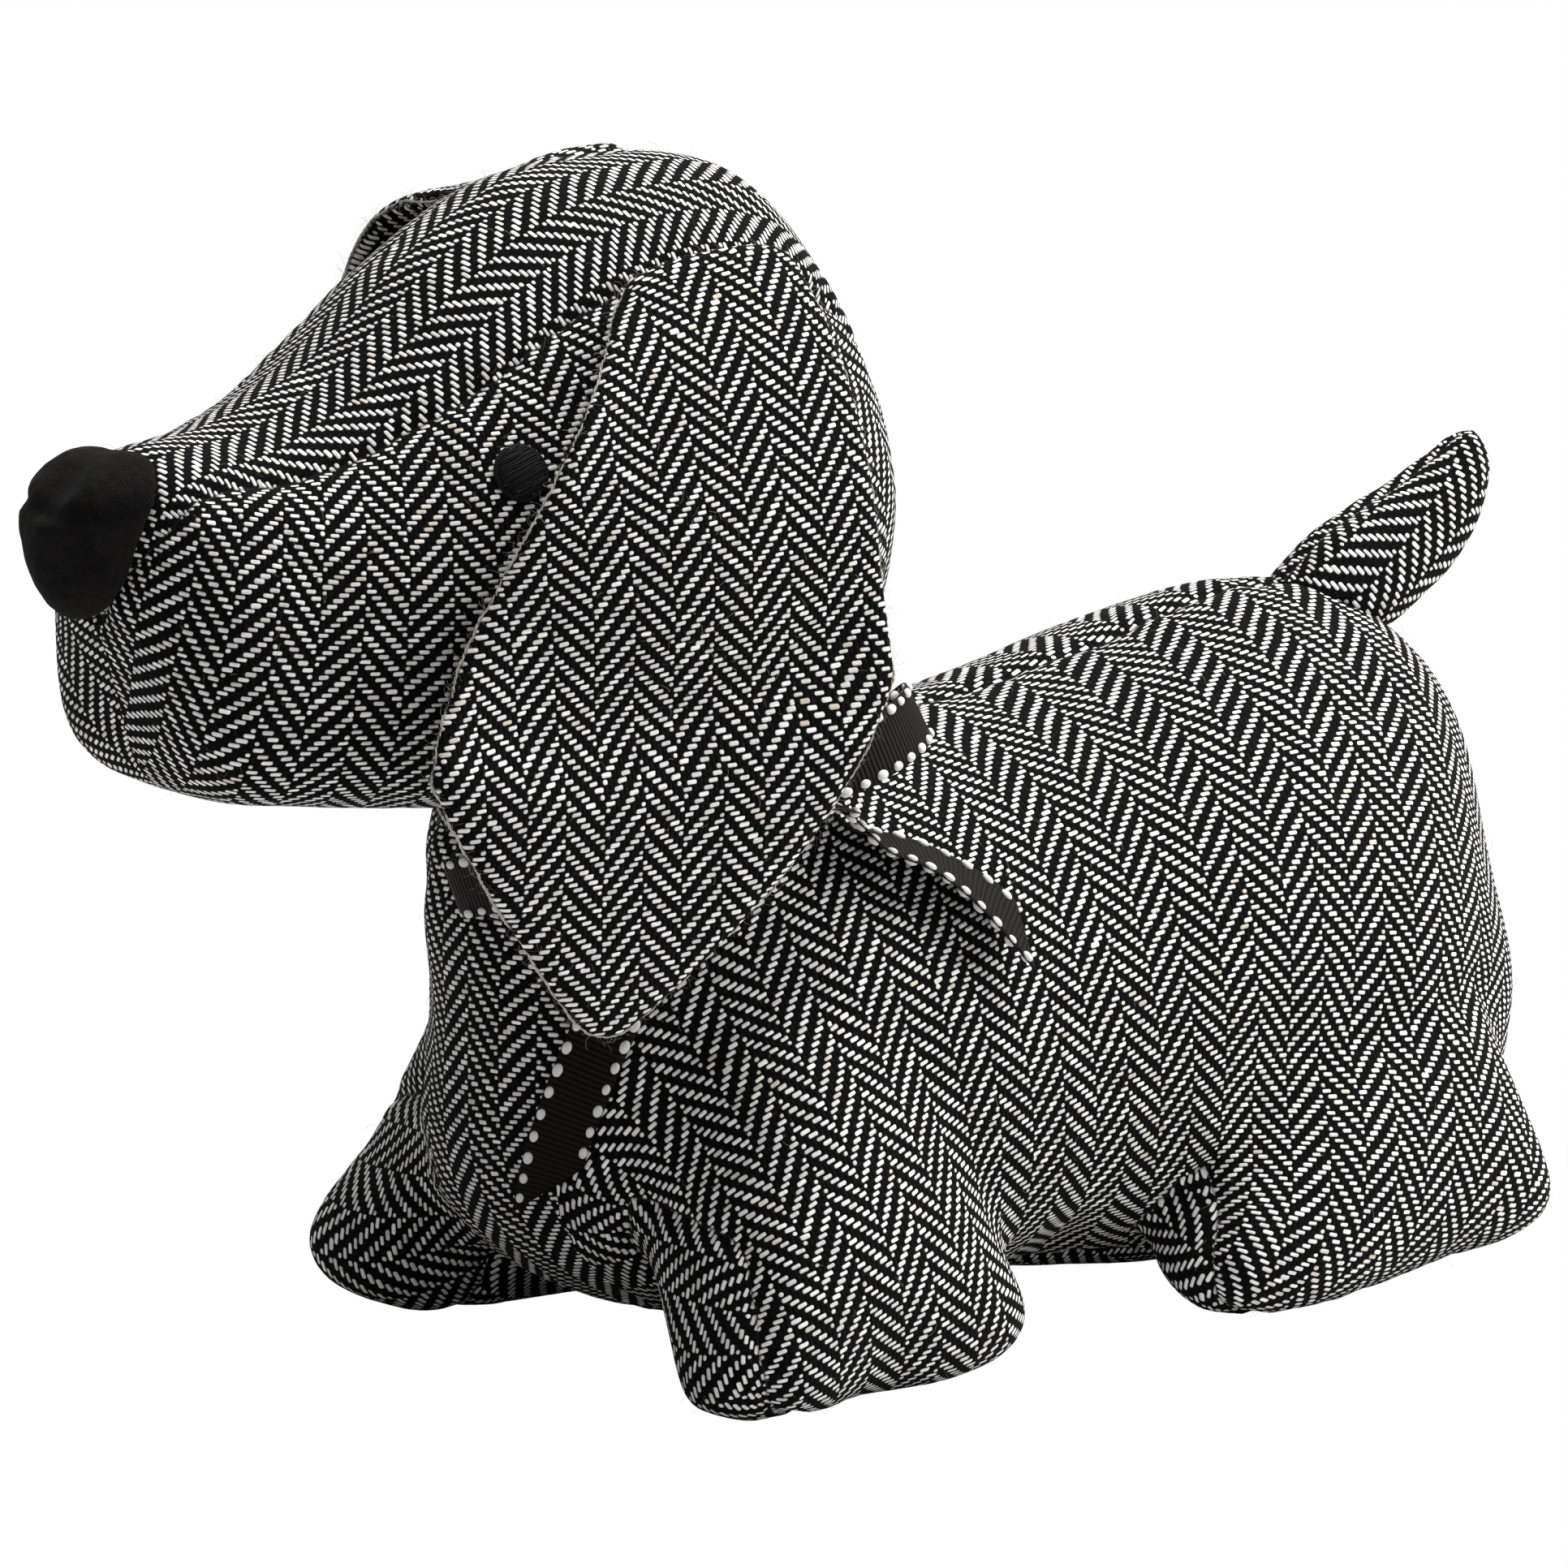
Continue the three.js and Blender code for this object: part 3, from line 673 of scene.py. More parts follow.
def makeBody():
    form = bodyForm
    body = copyOf("body", "clothBody")
    remeshed(body, form["voxel"], form["smoothing"])
    stuffed(body, **form["stuffing"], share=lambda p: 0.1 + 0.9 * smoothstep(p[:, 2], 0.012, 0.05))
    nudged(body, form["pushes"])
    cutSeam(body, underbody)
    cutSeam(body, neckTop)
    cutSeam(body, middleSeam, lambda p: (underbody(p) < 0.002) & (neckTop(p) < 0.002))
    cutSeam(body, chestEdge, onChest)
    cutSeam(body, lambda p: (along(p) - form["legFront"]) * 0.001,
            lambda p: (underbody(p) > -0.002) & (along(p) < 5))
    cutSeam(body, lambda p: p[:, 1], lambda p: (underbody(p) > -0.002) & (along(p) < form["legFront"] + 0.1))
    layFlat(body, bodyGrain)
    subdivided(body)
    drawIn(body, **form["seam"], matched=lambda p: onChest(p) & (np.abs(chestEdge(p)) < 0.0012))
    aboveFloor(body)
    clad(body, wool, "cloth", "body")
    return body


# Head: two side panels that meet under the chin, and a top gusset from the nose to the nape, given as
# [along X, half width].
headForm = {
    "voxel": 2.8,
    "smoothing": 8,
    "stuffing": {"pressure": 3.0, "looseness": 0.01, "cap": 3.0},
    "seam": {"depth": 1.0, "pucker": 0.6, "swell": 0.3, "seed": 3},
    "gusset": [(-150, 14), (-133, 15), (-112, 17), (-80, 24), (-70, 26.5), (-60, 28.5), (-47, 29), (-26, 29.5),
               (10, 30), (41, 27)],
    "pushes": [
        ((-15, 0, 228), 18, (0, 0, -1.6)), ((20, -12, 220), 16, (0.5, 0, 2)),
        ((-134, -6, 140), 20, (2.8, 1, 0)), ((-130, 14, 148), 18, (2.5, -1.5, 0)),
        ((-122, -3, 187), 13, (0, 0, 1.6)), ((-85, -20, 115), 30, (0, 0, 1.2)),
        ((32, -33, 158), 24, (-1.8, 1.5, 0)), ((28, -28, 188), 22, (-0.9, 0.7, 0)),
        ((-75, 18, 205), 25, (1, -1.2, -1)),
    ],
    "gussetFoot": 152,
    "gussetFull": 176,
}


def topGusset(points):
    x, y, z = along(points), np.abs(points[:, 1]) * 1000, points[:, 2] * 1000
    share = smoothstep(z, headForm["gussetFoot"], headForm["gussetFull"]) - 0.002
    return (interpolate(headForm["gusset"], x) * share - y) * 0.001


def headGrain(middle):
    onGusset = abs(middle.y) < 0.008
    return ((0, 1, 0), (0, 0, 1)) if onGusset else ((1, 0, 0), (0, 1, 0))


# The seam from the nose to the chin, where the weave is matched.
def onMuzzleSeam(points):
    return (np.abs(points[:, 1]) < 0.0008) & (along(points) < -60) & (points[:, 2] < 0.172)


def makeHead():
    form = headForm
    head = copyOf("head", "clothHead")
    remeshed(head, form["voxel"], form["smoothing"])
    stuffed(head, **form["stuffing"])
    nudged(head, form["pushes"])
    cutSeam(head, topGusset)
    cutSeam(head, lambda p: p[:, 1], lambda p: topGusset(p) < 0.001)
    layFlat(head, headGrain)
    subdivided(head)
    drawIn(head, **form["seam"], keep=lambda p: 0.35 + 0.65 * smoothstep(p[:, 2], 0.13, 0.16),
           matched=onMuzzleSeam)
    clad(head, wool, "cloth", "head")
    return head


say("body")
body = makeBody()
say("head")
head = makeHead()

# Ears: two layers sewn round the edge, hung from the seams beside the top gusset. The fall is [how far out,
# height]. The outline is on the flat ear, [along X, how far down], and the rings of faces run round the heart.
earForm = {
    "thickness": 3.8,
    "fall": {
        "left": [(30, 208.5), (43, 201), (54.5, 181), (61, 155), (63.5, 130), (63, 105), (61, 74)],
        "right": [(27, 212), (40, 211.5), (50, 203), (57, 185), (61.5, 158), (63.5, 130), (63, 105), (61, 74)],
    },
    "setBack": {"left": 0, "right": 13},
    "toeIn": 8,
    "hinge": 7,
    "settle": 70,
    "sweep": {"left": 0, "right": 0.36},
    "heart": (-32, 72),
    "outline": [(-31, 0), (-10, -1.5), (4, 0), (6.5, 16), (6, 45), (5, 76), (0.5, 92), (-16, 115), (-43, 138),
                (-58, 143.5), (-72.5, 126), (-90.5, 98), (-91, 84), (-72, 52), (-50, 22)],
    "around": 260,
    "rings": 46,
    "clear": 0.3,
    "draw": {"left": 0.9, "right": 0.6},
}


# A smooth line through places, as points at even steps, and its length.
def smoothLine(places, count, closed=False):
    places = np.array(places, float)
    total = len(places)
    spans = total if closed else total - 1
    index = (lambda i: i % total) if closed else (lambda i: min(max(i, 0), total - 1))
    dense = []
    for i in range(spans):
        a, b, c, d = (places[index(i + k)] for k in (-1, 0, 1, 2))
        for t in np.linspace(0, 1, 24, endpoint=False):
            curve = (2 * a - 5 * b + 4 * c - d) * t ** 2 + (3 * b - a - 3 * c + d) * t ** 3
            dense.append(0.5 * (2 * b + (c - a) * t + curve))
    dense.append(dense[0] if closed else places[-1])
    dense = np.array(dense)
    steps = np.concatenate([[0], np.cumsum(np.linalg.norm(np.diff(dense, axis=0), axis=1))])
    at = np.linspace(0, steps[-1], count, endpoint=not closed)
    return np.stack([np.interp(at, steps, dense[:, k]) for k in range(dense.shape[1])], 1), steps[-1]


def surfaceOf(piece):
    graph = bpy.context.evaluated_depsgraph_get()
    return BVHTree.FromObject(piece, graph)


# Lifts points that are closer than clear to a surface, or behind it, and draws the ones near it down by a
# share.
def laidOn(points, surface, clear, draw):
    laid = points.copy()
    for i, point in enumerate(points):
        place, normal, _, _ = surface.find_nearest(Vector(point), 0.03)
        if place is None:
            continue
        above = (Vector(point) - place).dot(normal)
        if above < clear:
            laid[i] = np.array(place + normal * clear)
        elif draw:
            share = draw * (1 - float(smoothstep(above, 0.004, 0.014)))
            laid[i] = point - np.array(normal) * (above - clear) * share
    return laid


def makeEar(name, side, headSurface):
    form = earForm
    fall, length = smoothLine(form["fall"][name], 400)
    tangent = np.gradient(fall, axis=0)
    tangent /= np.linalg.norm(tangent, axis=1, keepdims=True)
    drops = np.linspace(0, length, len(fall))
    edge, _ = smoothLine(form["outline"], form["around"], True)
    heart = np.array(form["heart"], float)
    sweep = form["sweep"][name]
    slope = math.tan(math.radians(form["toeIn"]))
    reaches = np.concatenate([np.linspace(0.03, 0.9, form["rings"] - 10), np.linspace(0.915, 0.998, 10)])

    def layer(reach, way):
        flat = heart + (edge - heart) * reach
        drop = np.clip(flat[:, 1], 0, None)
        x = flat[:, 0] + form["setBack"][name] + sweep * drop
        y = np.interp(drop, drops, fall[:, 0])
        y -= slope * (form["hinge"] - flat[:, 0]) * smoothstep(drop, 0, form["settle"])
        z = np.interp(drop, drops, fall[:, 1])
        outY, outZ = -np.interp(drop, drops, tangent[:, 1]), np.interp(drop, drops, tangent[:, 0])
        fromEdge = np.linalg.norm(edge - heart, axis=1) * (1 - reach)
        puff = np.sqrt(np.clip(1 - np.clip(1 - fromEdge / 5.5, 0, 1) ** 2.4, 0, 1))
        ripple = waves(np.stack([flat[:, 0], flat[:, 1], flat[:, 0] * 0], 1), 0.035, 7 + side) * 1.3
        half = form["thickness"] / 2 * puff * way
        middle = np.stack([x, (y + outY * ripple) * side, z + outZ * ripple], 1) * 0.001
        outward = np.stack([0 * x, outY * side, outZ], 1) * half[:, None] * 0.001
        return middle, outward, flat

    rings, flats = [], []
    rows = [(r, 1) for r in reaches] + [(1.0, 0)] + [(r, -1) for r in reaches[::-1]]
    for reach, way in rows:
        middle, outward, flat = layer(reach, way)
        middle[:, 0] += footOrigin
        clear = (form["thickness"] / 2 + form["clear"]) * 0.001
        rings.append(laidOn(middle, headSurface, clear, form["draw"][name]) + outward)
        flats.append(np.stack([flat[:, 0] * way if way else flat[:, 0], flat[:, 1]], 1) * 0.001)
    count = form["around"]
    points = [tuple(p) for ring in rings for p in ring]
    faces = []
    for r in range(len(rings) - 1):
        for i in range(count):
            j = (i + 1) % count
            faces.append((r * count + i, r * count + j, (r + 1) * count + j, (r + 1) * count + i))
    for r in (0, len(rings) - 1):
        hub = len(points)
        points.append(tuple(rings[r].mean(0)))
        flats.append(flats[r].mean(0, keepdims=True))
        for i in range(count):
            pair = (r * count + i, r * count + (i + 1) % count)
            faces.append((pair[1], pair[0], hub) if r == 0 else (pair[0], pair[1], hub))
    mesh = bpy.data.meshes.new(f"ear{name.capitalize()}")
    mesh.from_pydata(points, [], faces)
    setWeave(mesh, np.concatenate(flats) * (1, -1))
    ear = linked(f"ear{name.capitalize()}", mesh)
    facesOutwards(mesh)
    reach = mesh.attributes.new("seamReach", "FLOAT", "POINT")
    reach.data.foreach_set("value", np.full(len(points), 0.02, np.float32))  # far enough that no seam shows
    clad(ear, wool, "cloth", f"ear_{name}")
    rim = rings[len(reaches)]
    return ear, rim


# Tail: two halves that meet in the middle, woven along the horn.
tailForm = {
    "voxel": 1.4,
    "smoothing": 8,
    "pushes": [((197, 0, 143), 14, (1.2, 0, 1.5))],
    "row": (-0.6, 0, 0.8),
    "seam": {"depth": 0.6, "pucker": 0.3, "swell": 0.2, "seed": 9},
}


def makeTail():
    form = tailForm
    tail = copyOf("tail", "clothTail")
    remeshed(tail, form["voxel"], form["smoothing"])
    nudged(tail, form["pushes"])
    cutSeam(tail, lambda p: p[:, 1])
    layFlat(tail, lambda middle: (form["row"], (0, 1, 0)))
    subdivided(tail)
    drawIn(tail, **form["seam"])
    clad(tail, wool, "cloth", "tail")
    return tail


def makeSuede():
    material, tree = newMaterial("black suede")
    place = put(tree, "ShaderNodeTexCoord")
    nap = put(tree, "ShaderNodeTexNoise", {
        "Vector": place.outputs["Object"], "Scale": 900.0, "Detail": 6.0, "Distortion": 1.5})
    patch = put(tree, "ShaderNodeTexNoise", {"Vector": place.outputs["Object"], "Scale": 70.0, "Detail": 2.0})
    share = times(tree, nap.outputs["Fac"], patch.outputs["Fac"])
    colour = blendColours(tree, share, (0.0004, 0.0004, 0.0004, 1), (0.028, 0.025, 0.024, 1))
    bump = put(tree, "ShaderNodeBump", {"Height": nap.outputs["Fac"], "Strength": 0.8, "Distance": 0.0005})
    surface = put(tree, "ShaderNodeBsdfPrincipled", {
        "Base Color": colour, "Roughness": 0.95, "Specular IOR Level": 0.04, "Sheen Weight": 0.015,
        "Sheen Roughness": 0.5, "Normal": bump.outputs[0]})
    return surfaced(material, tree, surface)


# Nose: a cap of suede with a crease across its front.
noseForm = {
    "voxel": 0.9,
    "smoothing": 10,
    "pushes": [
        ((-144, 2, 184), 7, (2.5, 0, -0.5)), ((-143, -4, 166), 9, (1.5, 0, 0.5)),
        ((-132, -16, 174), 10, (-1, 3.5, 0)), ((-128, -4, 187), 6, (1, 0, 1)),
        ((-144, 8, 176), 9, (1, -0.8, 0)), ((-140, 4, 187), 7, (2, -1, -1)),
    ],
    "crease": {"height": 177.3, "half": 1.6, "depth": 1.1},
    "lumps": [(130, 2, 0.5), (420, 4, 0.2)],  # [scale, seed, height]
}


def makeNose():
    nose = copyOf("nose", "suedeNose")
    remeshed(nose, noseForm["voxel"], noseForm["smoothing"])
    nudged(nose, noseForm["pushes"])
    points, crease = toArray(nose), noseForm["crease"]
    fold = np.exp(-((points[:, 2] * 1000 - crease["height"]) / crease["half"]) ** 2)
    lift = -fold * smoothstep(-along(points), 128, 140) * crease["depth"]
    for scale, seed, height in noseForm["lumps"]:
        lift += waves(points, scale, seed) * height
    fromArray(nose, points + normals(nose) * lift[:, None] * 0.001)
    clad(nose, makeSuede(), "suede", "nose")
    return nose


# Builds a mesh of round threads along paths, closed at both ends.
def threadMesh(name, paths, radii, sides=6):
    points, faces, lengths = [], [], []
    for path, radius in zip(paths, radii):
        path = np.array(path)
        way = np.gradient(path, axis=0)
        way /= np.linalg.norm(way, axis=1, keepdims=True)
        first = len(points)
        reference = np.array([0.3, 0.2, 1.0])
        travelled = np.concatenate([[0], np.cumsum(np.linalg.norm(np.diff(path, axis=0), axis=1))])
        for i, (place, direction) in enumerate(zip(path, way)):
            side = np.cross(direction, reference)
            side /= np.linalg.norm(side)
            up = np.cross(side, direction)
            taper = math.sin(math.pi * (0.12 + 0.76 * i / (len(path) - 1))) ** 0.4
            for k in range(sides):
                angle = 2 * math.pi * k / sides
                points.append(place + (side * math.cos(angle) + up * math.sin(angle)) * radius * taper)
                lengths.append((travelled[i], k / sides))
        for i in range(len(path) - 1):
            for k in range(sides):
                a, b = first + i * sides + k, first + i * sides + (k + 1) % sides
                faces.append((a, b, b + sides, a + sides))
        faces.append(tuple(first + k for k in range(sides))[::-1])
        faces.append(tuple(first + (len(path) - 1) * sides + k for k in range(sides)))
    mesh = bpy.data.meshes.new(name)
    mesh.from_pydata([tuple(p) for p in points], [], faces)
    setWeave(mesh, lengths)
    facesOutwards(mesh)
    return mesh


def makeThread(name, colour, sheen, twist, gloss=0.3):
    material, tree = newMaterial(name)
    flat = put(tree, "ShaderNodeUVMap", uv_map="weave")
    split = put(tree, "ShaderNodeSeparateXYZ", {"Vector": flat.outputs[0]})
    turn = plus(tree, times(tree, split.outputs[0], twist), split.outputs[1])
    ply = calc(tree, "ABSOLUTE", calc(tree, "SINE", times(tree, turn, math.pi * 2)))
    place = put(tree, "ShaderNodeTexCoord")
    grit = put(tree, "ShaderNodeTexNoise", {"Vector": place.outputs["Object"], "Scale": 3000.0, "Detail": 3.0})
    height = plus(tree, ply, times(tree, grit.outputs["Fac"], 0.5))
    # The thread colour is painted darker in the grooves between the plies: painted shade in the twist, with
    # grit for its own tone.
    tintedAndPlyShaded = shaded(tree, colour, plus(tree, 0.6, times(tree, height, 0.35)))
    bump = put(tree, "ShaderNodeBump", {"Height": height, "Strength": 0.6, "Distance": 0.00012})
    surface = put(tree, "ShaderNodeBsdfPrincipled", {
        "Base Color": tintedAndPlyShaded, "Roughness": 0.6, "Specular IOR Level": gloss, "Sheen Weight": sheen,
        "Normal": bump.outputs[0]})
    return surfaced(material, tree, surface)


# Eyes: a disc of satin stitch with an outline of its own, worked through the cloth of the head.
eyeForm = {"x": -63.5, "z": 179.5, "halfLength": 4.9, "halfHeight": 5.3, "dome": 1.1, "rows": 25,
           "thread": 0.27, "outline": 0.26, "lean": 12}


def makeEye(name, side, headSurface, material):
    form = eyeForm
    start = Vector((form["x"] * 0.001 + footOrigin, side * 0.2, form["z"] * 0.001))
    place, normal, _, _ = headSurface.ray_cast(start, Vector((0, -side, 0)))
    level = Vector((1, 0, 0))
    across = (level - normal * level.dot(normal)).normalized()
    up = normal.cross(across) * (1 if normal.cross(across).z > 0 else -1)
    lean = math.radians(form["lean"])

    def spot(u, v, lift):
        target = place + across * (u * 0.001) + up * (v * 0.001) + normal * 0.01
        hit, _, _, _ = headSurface.ray_cast(target, -normal)
        hit = hit if hit is not None else target - normal * 0.01
        return np.array(hit + normal * (lift * 0.001))

    paths, radii = [], []
    for i in range(form["rows"]):
        v0 = (i + 0.5) / form["rows"] * 2 - 1
        half = math.sqrt(1 - v0 * v0) * 0.93
        jitter = noise.noise(Vector((i * 1.7, side, 0.5)))
        path = []
        for t in np.linspace(-1, 1, 13):
            u = half * t * (1 + 0.03 * jitter)
            v = v0 + 0.05 * noise.noise(Vector((t * 1.3, i * 0.6, side + 3)))
            x = form["halfLength"] * (u * math.cos(lean) - v * math.sin(lean))
            y = form["halfHeight"] * (u * math.sin(lean) + v * math.cos(lean))
            rise = form["dome"] * math.sqrt(max(1 - 0.96 * (u * u + v * v), 0.02))
            path.append(spot(x, y, rise + 0.1 * jitter))
        paths.append(path)
        radii.append(form["thread"] * 0.001 * (1 + 0.15 * jitter))
    for ring, (grow, rise) in enumerate([(1.0, 0.25), (0.95, 0.42)]):
        path = [spot(form["halfLength"] * grow * math.cos(a), form["halfHeight"] * grow * math.sin(a), rise)
                for a in np.linspace(0.2 * ring, 2 * math.pi + 0.2 * ring, 49)]
        paths.append(path)
        radii.append(form["outline"] * 0.001)
    mesh = threadMesh(f"eye{name.capitalize()}", paths, radii)
    base = copyOf(f"eye_{name}", "eyeBase")
    points = toArray(base)
    middle = np.array(place)
    fromArray(base, middle + (points - middle) * 0.9 - np.array(normal) * 0.0006)
    base.data.uv_layers.new(name="weave")
    eye = linked(f"eye{name.capitalize()}", mesh)
    bm = bmesh.new()
    bm.from_mesh(mesh)
    bm.from_mesh(base.data)
    bm.to_mesh(mesh)
    bm.free()
    bpy.data.objects.remove(base)
    clad(eye, material, "eye_thread", f"eye_{name}")
    return eye


# Ribbon: grosgrain with a saddle stitch along both edges, tied in a bow under the near ear. A loop goes there
# and back along its bend. A tail hangs through its places, turned towards its faces and cut at a slant.
ribbonForm = {
    "width": 11.4,
    "thickness": 0.55,
    "neck": {"x": -0.2, "halfLength": 40, "halfWidth": 37, "height": 113.5, "slope": 0.27},
    "knot": (-20, -40.5, 110),
    "knotHalf": (7, 4, 6),
    "loops": [
        {"bend": [(-21, -41, 110.6), (-50.5, -38, 105), (-49, -2, 93)],
         "outward": (-0.7, -0.7, 0.1), "rise": 2.8},
        {"bend": [(-18.6, -41.4, 110.9), (8, -50, 116), (29, -36, 119.5)],
         "outward": (0.15, -1, 0.35), "rise": 3.2},
    ],
    "tails": [
        {"places": [(-20.7, -40.2, 108.4), (-28, -36, 92), (-35, -27.5, 69), (-38.5, -22.5, 53),
                    (-41, -18.5, 38)],
         "slant": 7, "lift": 1.6, "faces": [(-0.5, -0.8, 0.2), (-0.72, -0.66, 0.2)]},
        {"places": [(-18.2, -40.4, 108.9), (0, -44, 109), (20, -46, 103), (34, -48, 92.5),
                    (44.6, -51.5, 78.4)],
         "slant": 5, "lift": 3.8,
         "faces": [(0.3, 0.2, 1), (0.25, 0.05, 1), (0.2, -0.3, 1), (0.05, -0.6, 0.8)]},
    ],
    "aboveCloth": 0.5,
    "stitchPitch": 4.4,
    "stitchInset": 0.95,
    "stitchRaise": 0.35,
}


def inFrame(place):
    return np.array([place[0] * 0.001 + footOrigin, place[1] * 0.001, place[2] * 0.001])


# A flat strip along points. across points from one edge to the other and out away from the cloth below.
def stripPart(points, across, closed=False, slant=0):
    width, thickness = ribbonForm["width"] * 0.001, ribbonForm["thickness"] * 0.001
    points = np.array(points)
    before = np.roll(points, 1, 0) if closed else np.vstack([points[:1], points[:-1]])
    after = np.roll(points, -1, 0) if closed else np.vstack([points[1:], points[-1:]])
    way = after - before
    way /= np.linalg.norm(way, axis=1, keepdims=True)
    wide = np.array(across)
    wide = wide - way * (wide * way).sum(1)[:, None]
    wide /= np.linalg.norm(wide, axis=1, keepdims=True)
    out = np.cross(wide, way)
    travelled = np.concatenate([[0], np.cumsum(np.linalg.norm(np.diff(points, axis=0), axis=1))])
    spread = np.linspace(-1, 1, 9)
    profile = [(s, 1) for s in spread] + [(s, -1) for s in spread[::-1]]
    rows, flats = [], []
    for i, place in enumerate(points):
        ring, flat = [], []
        ahead = slant * 0.001 * smoothstep(travelled[i], travelled[-1] - 0.02, travelled[-1])
        for s, d in profile:
            edge = math.sqrt(max(1 - abs(s) ** 8, 0.12))
            lift = out[i] * d * edge * thickness / 2
            ring.append(place + wide[i] * s * width / 2 + lift + way[i] * ahead * s)
            flat.append((s * width / 2, travelled[i] + ahead * s))
        rows.append(ring)
        flats.append(flat)
    return {"points": points, "wide": wide, "way": way, "out": out, "travelled": travelled, "rows": rows,
            "flats": flats, "closed": closed, "slant": slant}


def collarPart():
    form = ribbonForm["neck"]
    points, across = [], []
    for a in np.linspace(0, 2 * math.pi, 120, endpoint=False):
        x, y = form["halfLength"] * math.cos(a), form["halfWidth"] * math.sin(a)
        points.append(inFrame((form["x"] + x, y, form["height"] + form["slope"] * x)))
        across.append((-form["slope"], 0, 1))
    return stripPart(points, across, True)


# The place and the direction at a share of a bend, which is [start, bend, end].
def bent(places, t):
    a, b, c = (inFrame(p) for p in places)
    return a * (1 - t) ** 2 + 2 * b * t * (1 - t) + c * t * t, 2 * (b - a) * (1 - t) + 2 * (c - b) * t


def loopPart(loop):
    out = np.array(loop["outward"], float)
    out /= np.linalg.norm(out)
    points, across = [], []
    for a in np.linspace(0, 2 * math.pi, 61):
        reach = (1 - math.cos(a)) / 2
        place, way = bent(loop["bend"], reach)
        points.append(place + out * loop["rise"] * 0.001 * (1 - math.sin(a) * math.sqrt(reach)))
        across.append(np.cross(way, out))
    return stripPart(points, across)


def tailPart(tail, bodySurface):
    count = 60
    places, _ = smoothLine([inFrame(p) for p in tail["places"]], count)
    turned = tail["faces"]
    faces = smoothLine(turned, count)[0] if len(turned) > 2 else np.linspace(*turned, count)
    lift, clear = tail["lift"] * 0.001, ribbonForm["aboveCloth"] * 0.001
    points, across = [], []
    ways = np.gradient(places, axis=0)
    for i, (place, way, face) in enumerate(zip(places, ways, faces)):
        hit, normal, _, _ = bodySurface.find_nearest(Vector(place))
        above = (Vector(place) - hit).dot(normal)
        share = float(smoothstep(i / (count - 1), 0, 0.35))
        laid = np.array(hit + normal * lift) if above < lift or i > 20 else place
        points.append(place * (1 - share) + laid * share)
        across.append(np.cross(way, face))
    for _ in range(5):
        points[1:-1] = [(a + 2 * b + c) / 4 for a, b, c in zip(points, points[1:], points[2:])]
    part = stripPart(points, across, slant=tail["slant"])
    for ring in part["rows"]:
        for k, corner in enumerate(ring):
            hit, normal, _, _ = bodySurface.find_nearest(Vector(corner))
            above = (Vector(corner) - hit).dot(normal)
            if above < clear:
                ring[k] = corner + np.array(normal) * (clear - above)
    return part


def makeGrosgrain():
    material, tree = newMaterial("black grosgrain")
    flat = put(tree, "ShaderNodeUVMap", uv_map="weave")
    split = put(tree, "ShaderNodeSeparateXYZ", {"Vector": flat.outputs[0]})
    ribPitch = 0.0011
    ribAngle = times(tree, split.outputs[1], math.pi / ribPitch)
    rib = calc(tree, "ABSOLUTE", calc(tree, "SINE", ribAngle))
    fine = put(tree, "ShaderNodeTexNoise", {"Vector": flat.outputs[0], "Scale": 4000.0, "Detail": 2.0})
    height = plus(tree, rib, times(tree, fine.outputs["Fac"], 0.25))
    # The rib crests are painted lighter than the hollows between them: painted shade across the ribs.
    colour = blendColours(tree, rib, (0.0008, 0.0006, 0.0006, 1), (0.008, 0.006, 0.0055, 1))
    bump = put(tree, "ShaderNodeBump", {"Height": height, "Strength": 0.9, "Distance": 0.0003})
    surface = put(tree, "ShaderNodeBsdfPrincipled", {
        "Base Color": colour, "Roughness": 0.6, "Specular IOR Level": 0.06, "Normal": bump.outputs[0]})
    return surfaced(material, tree, surface)


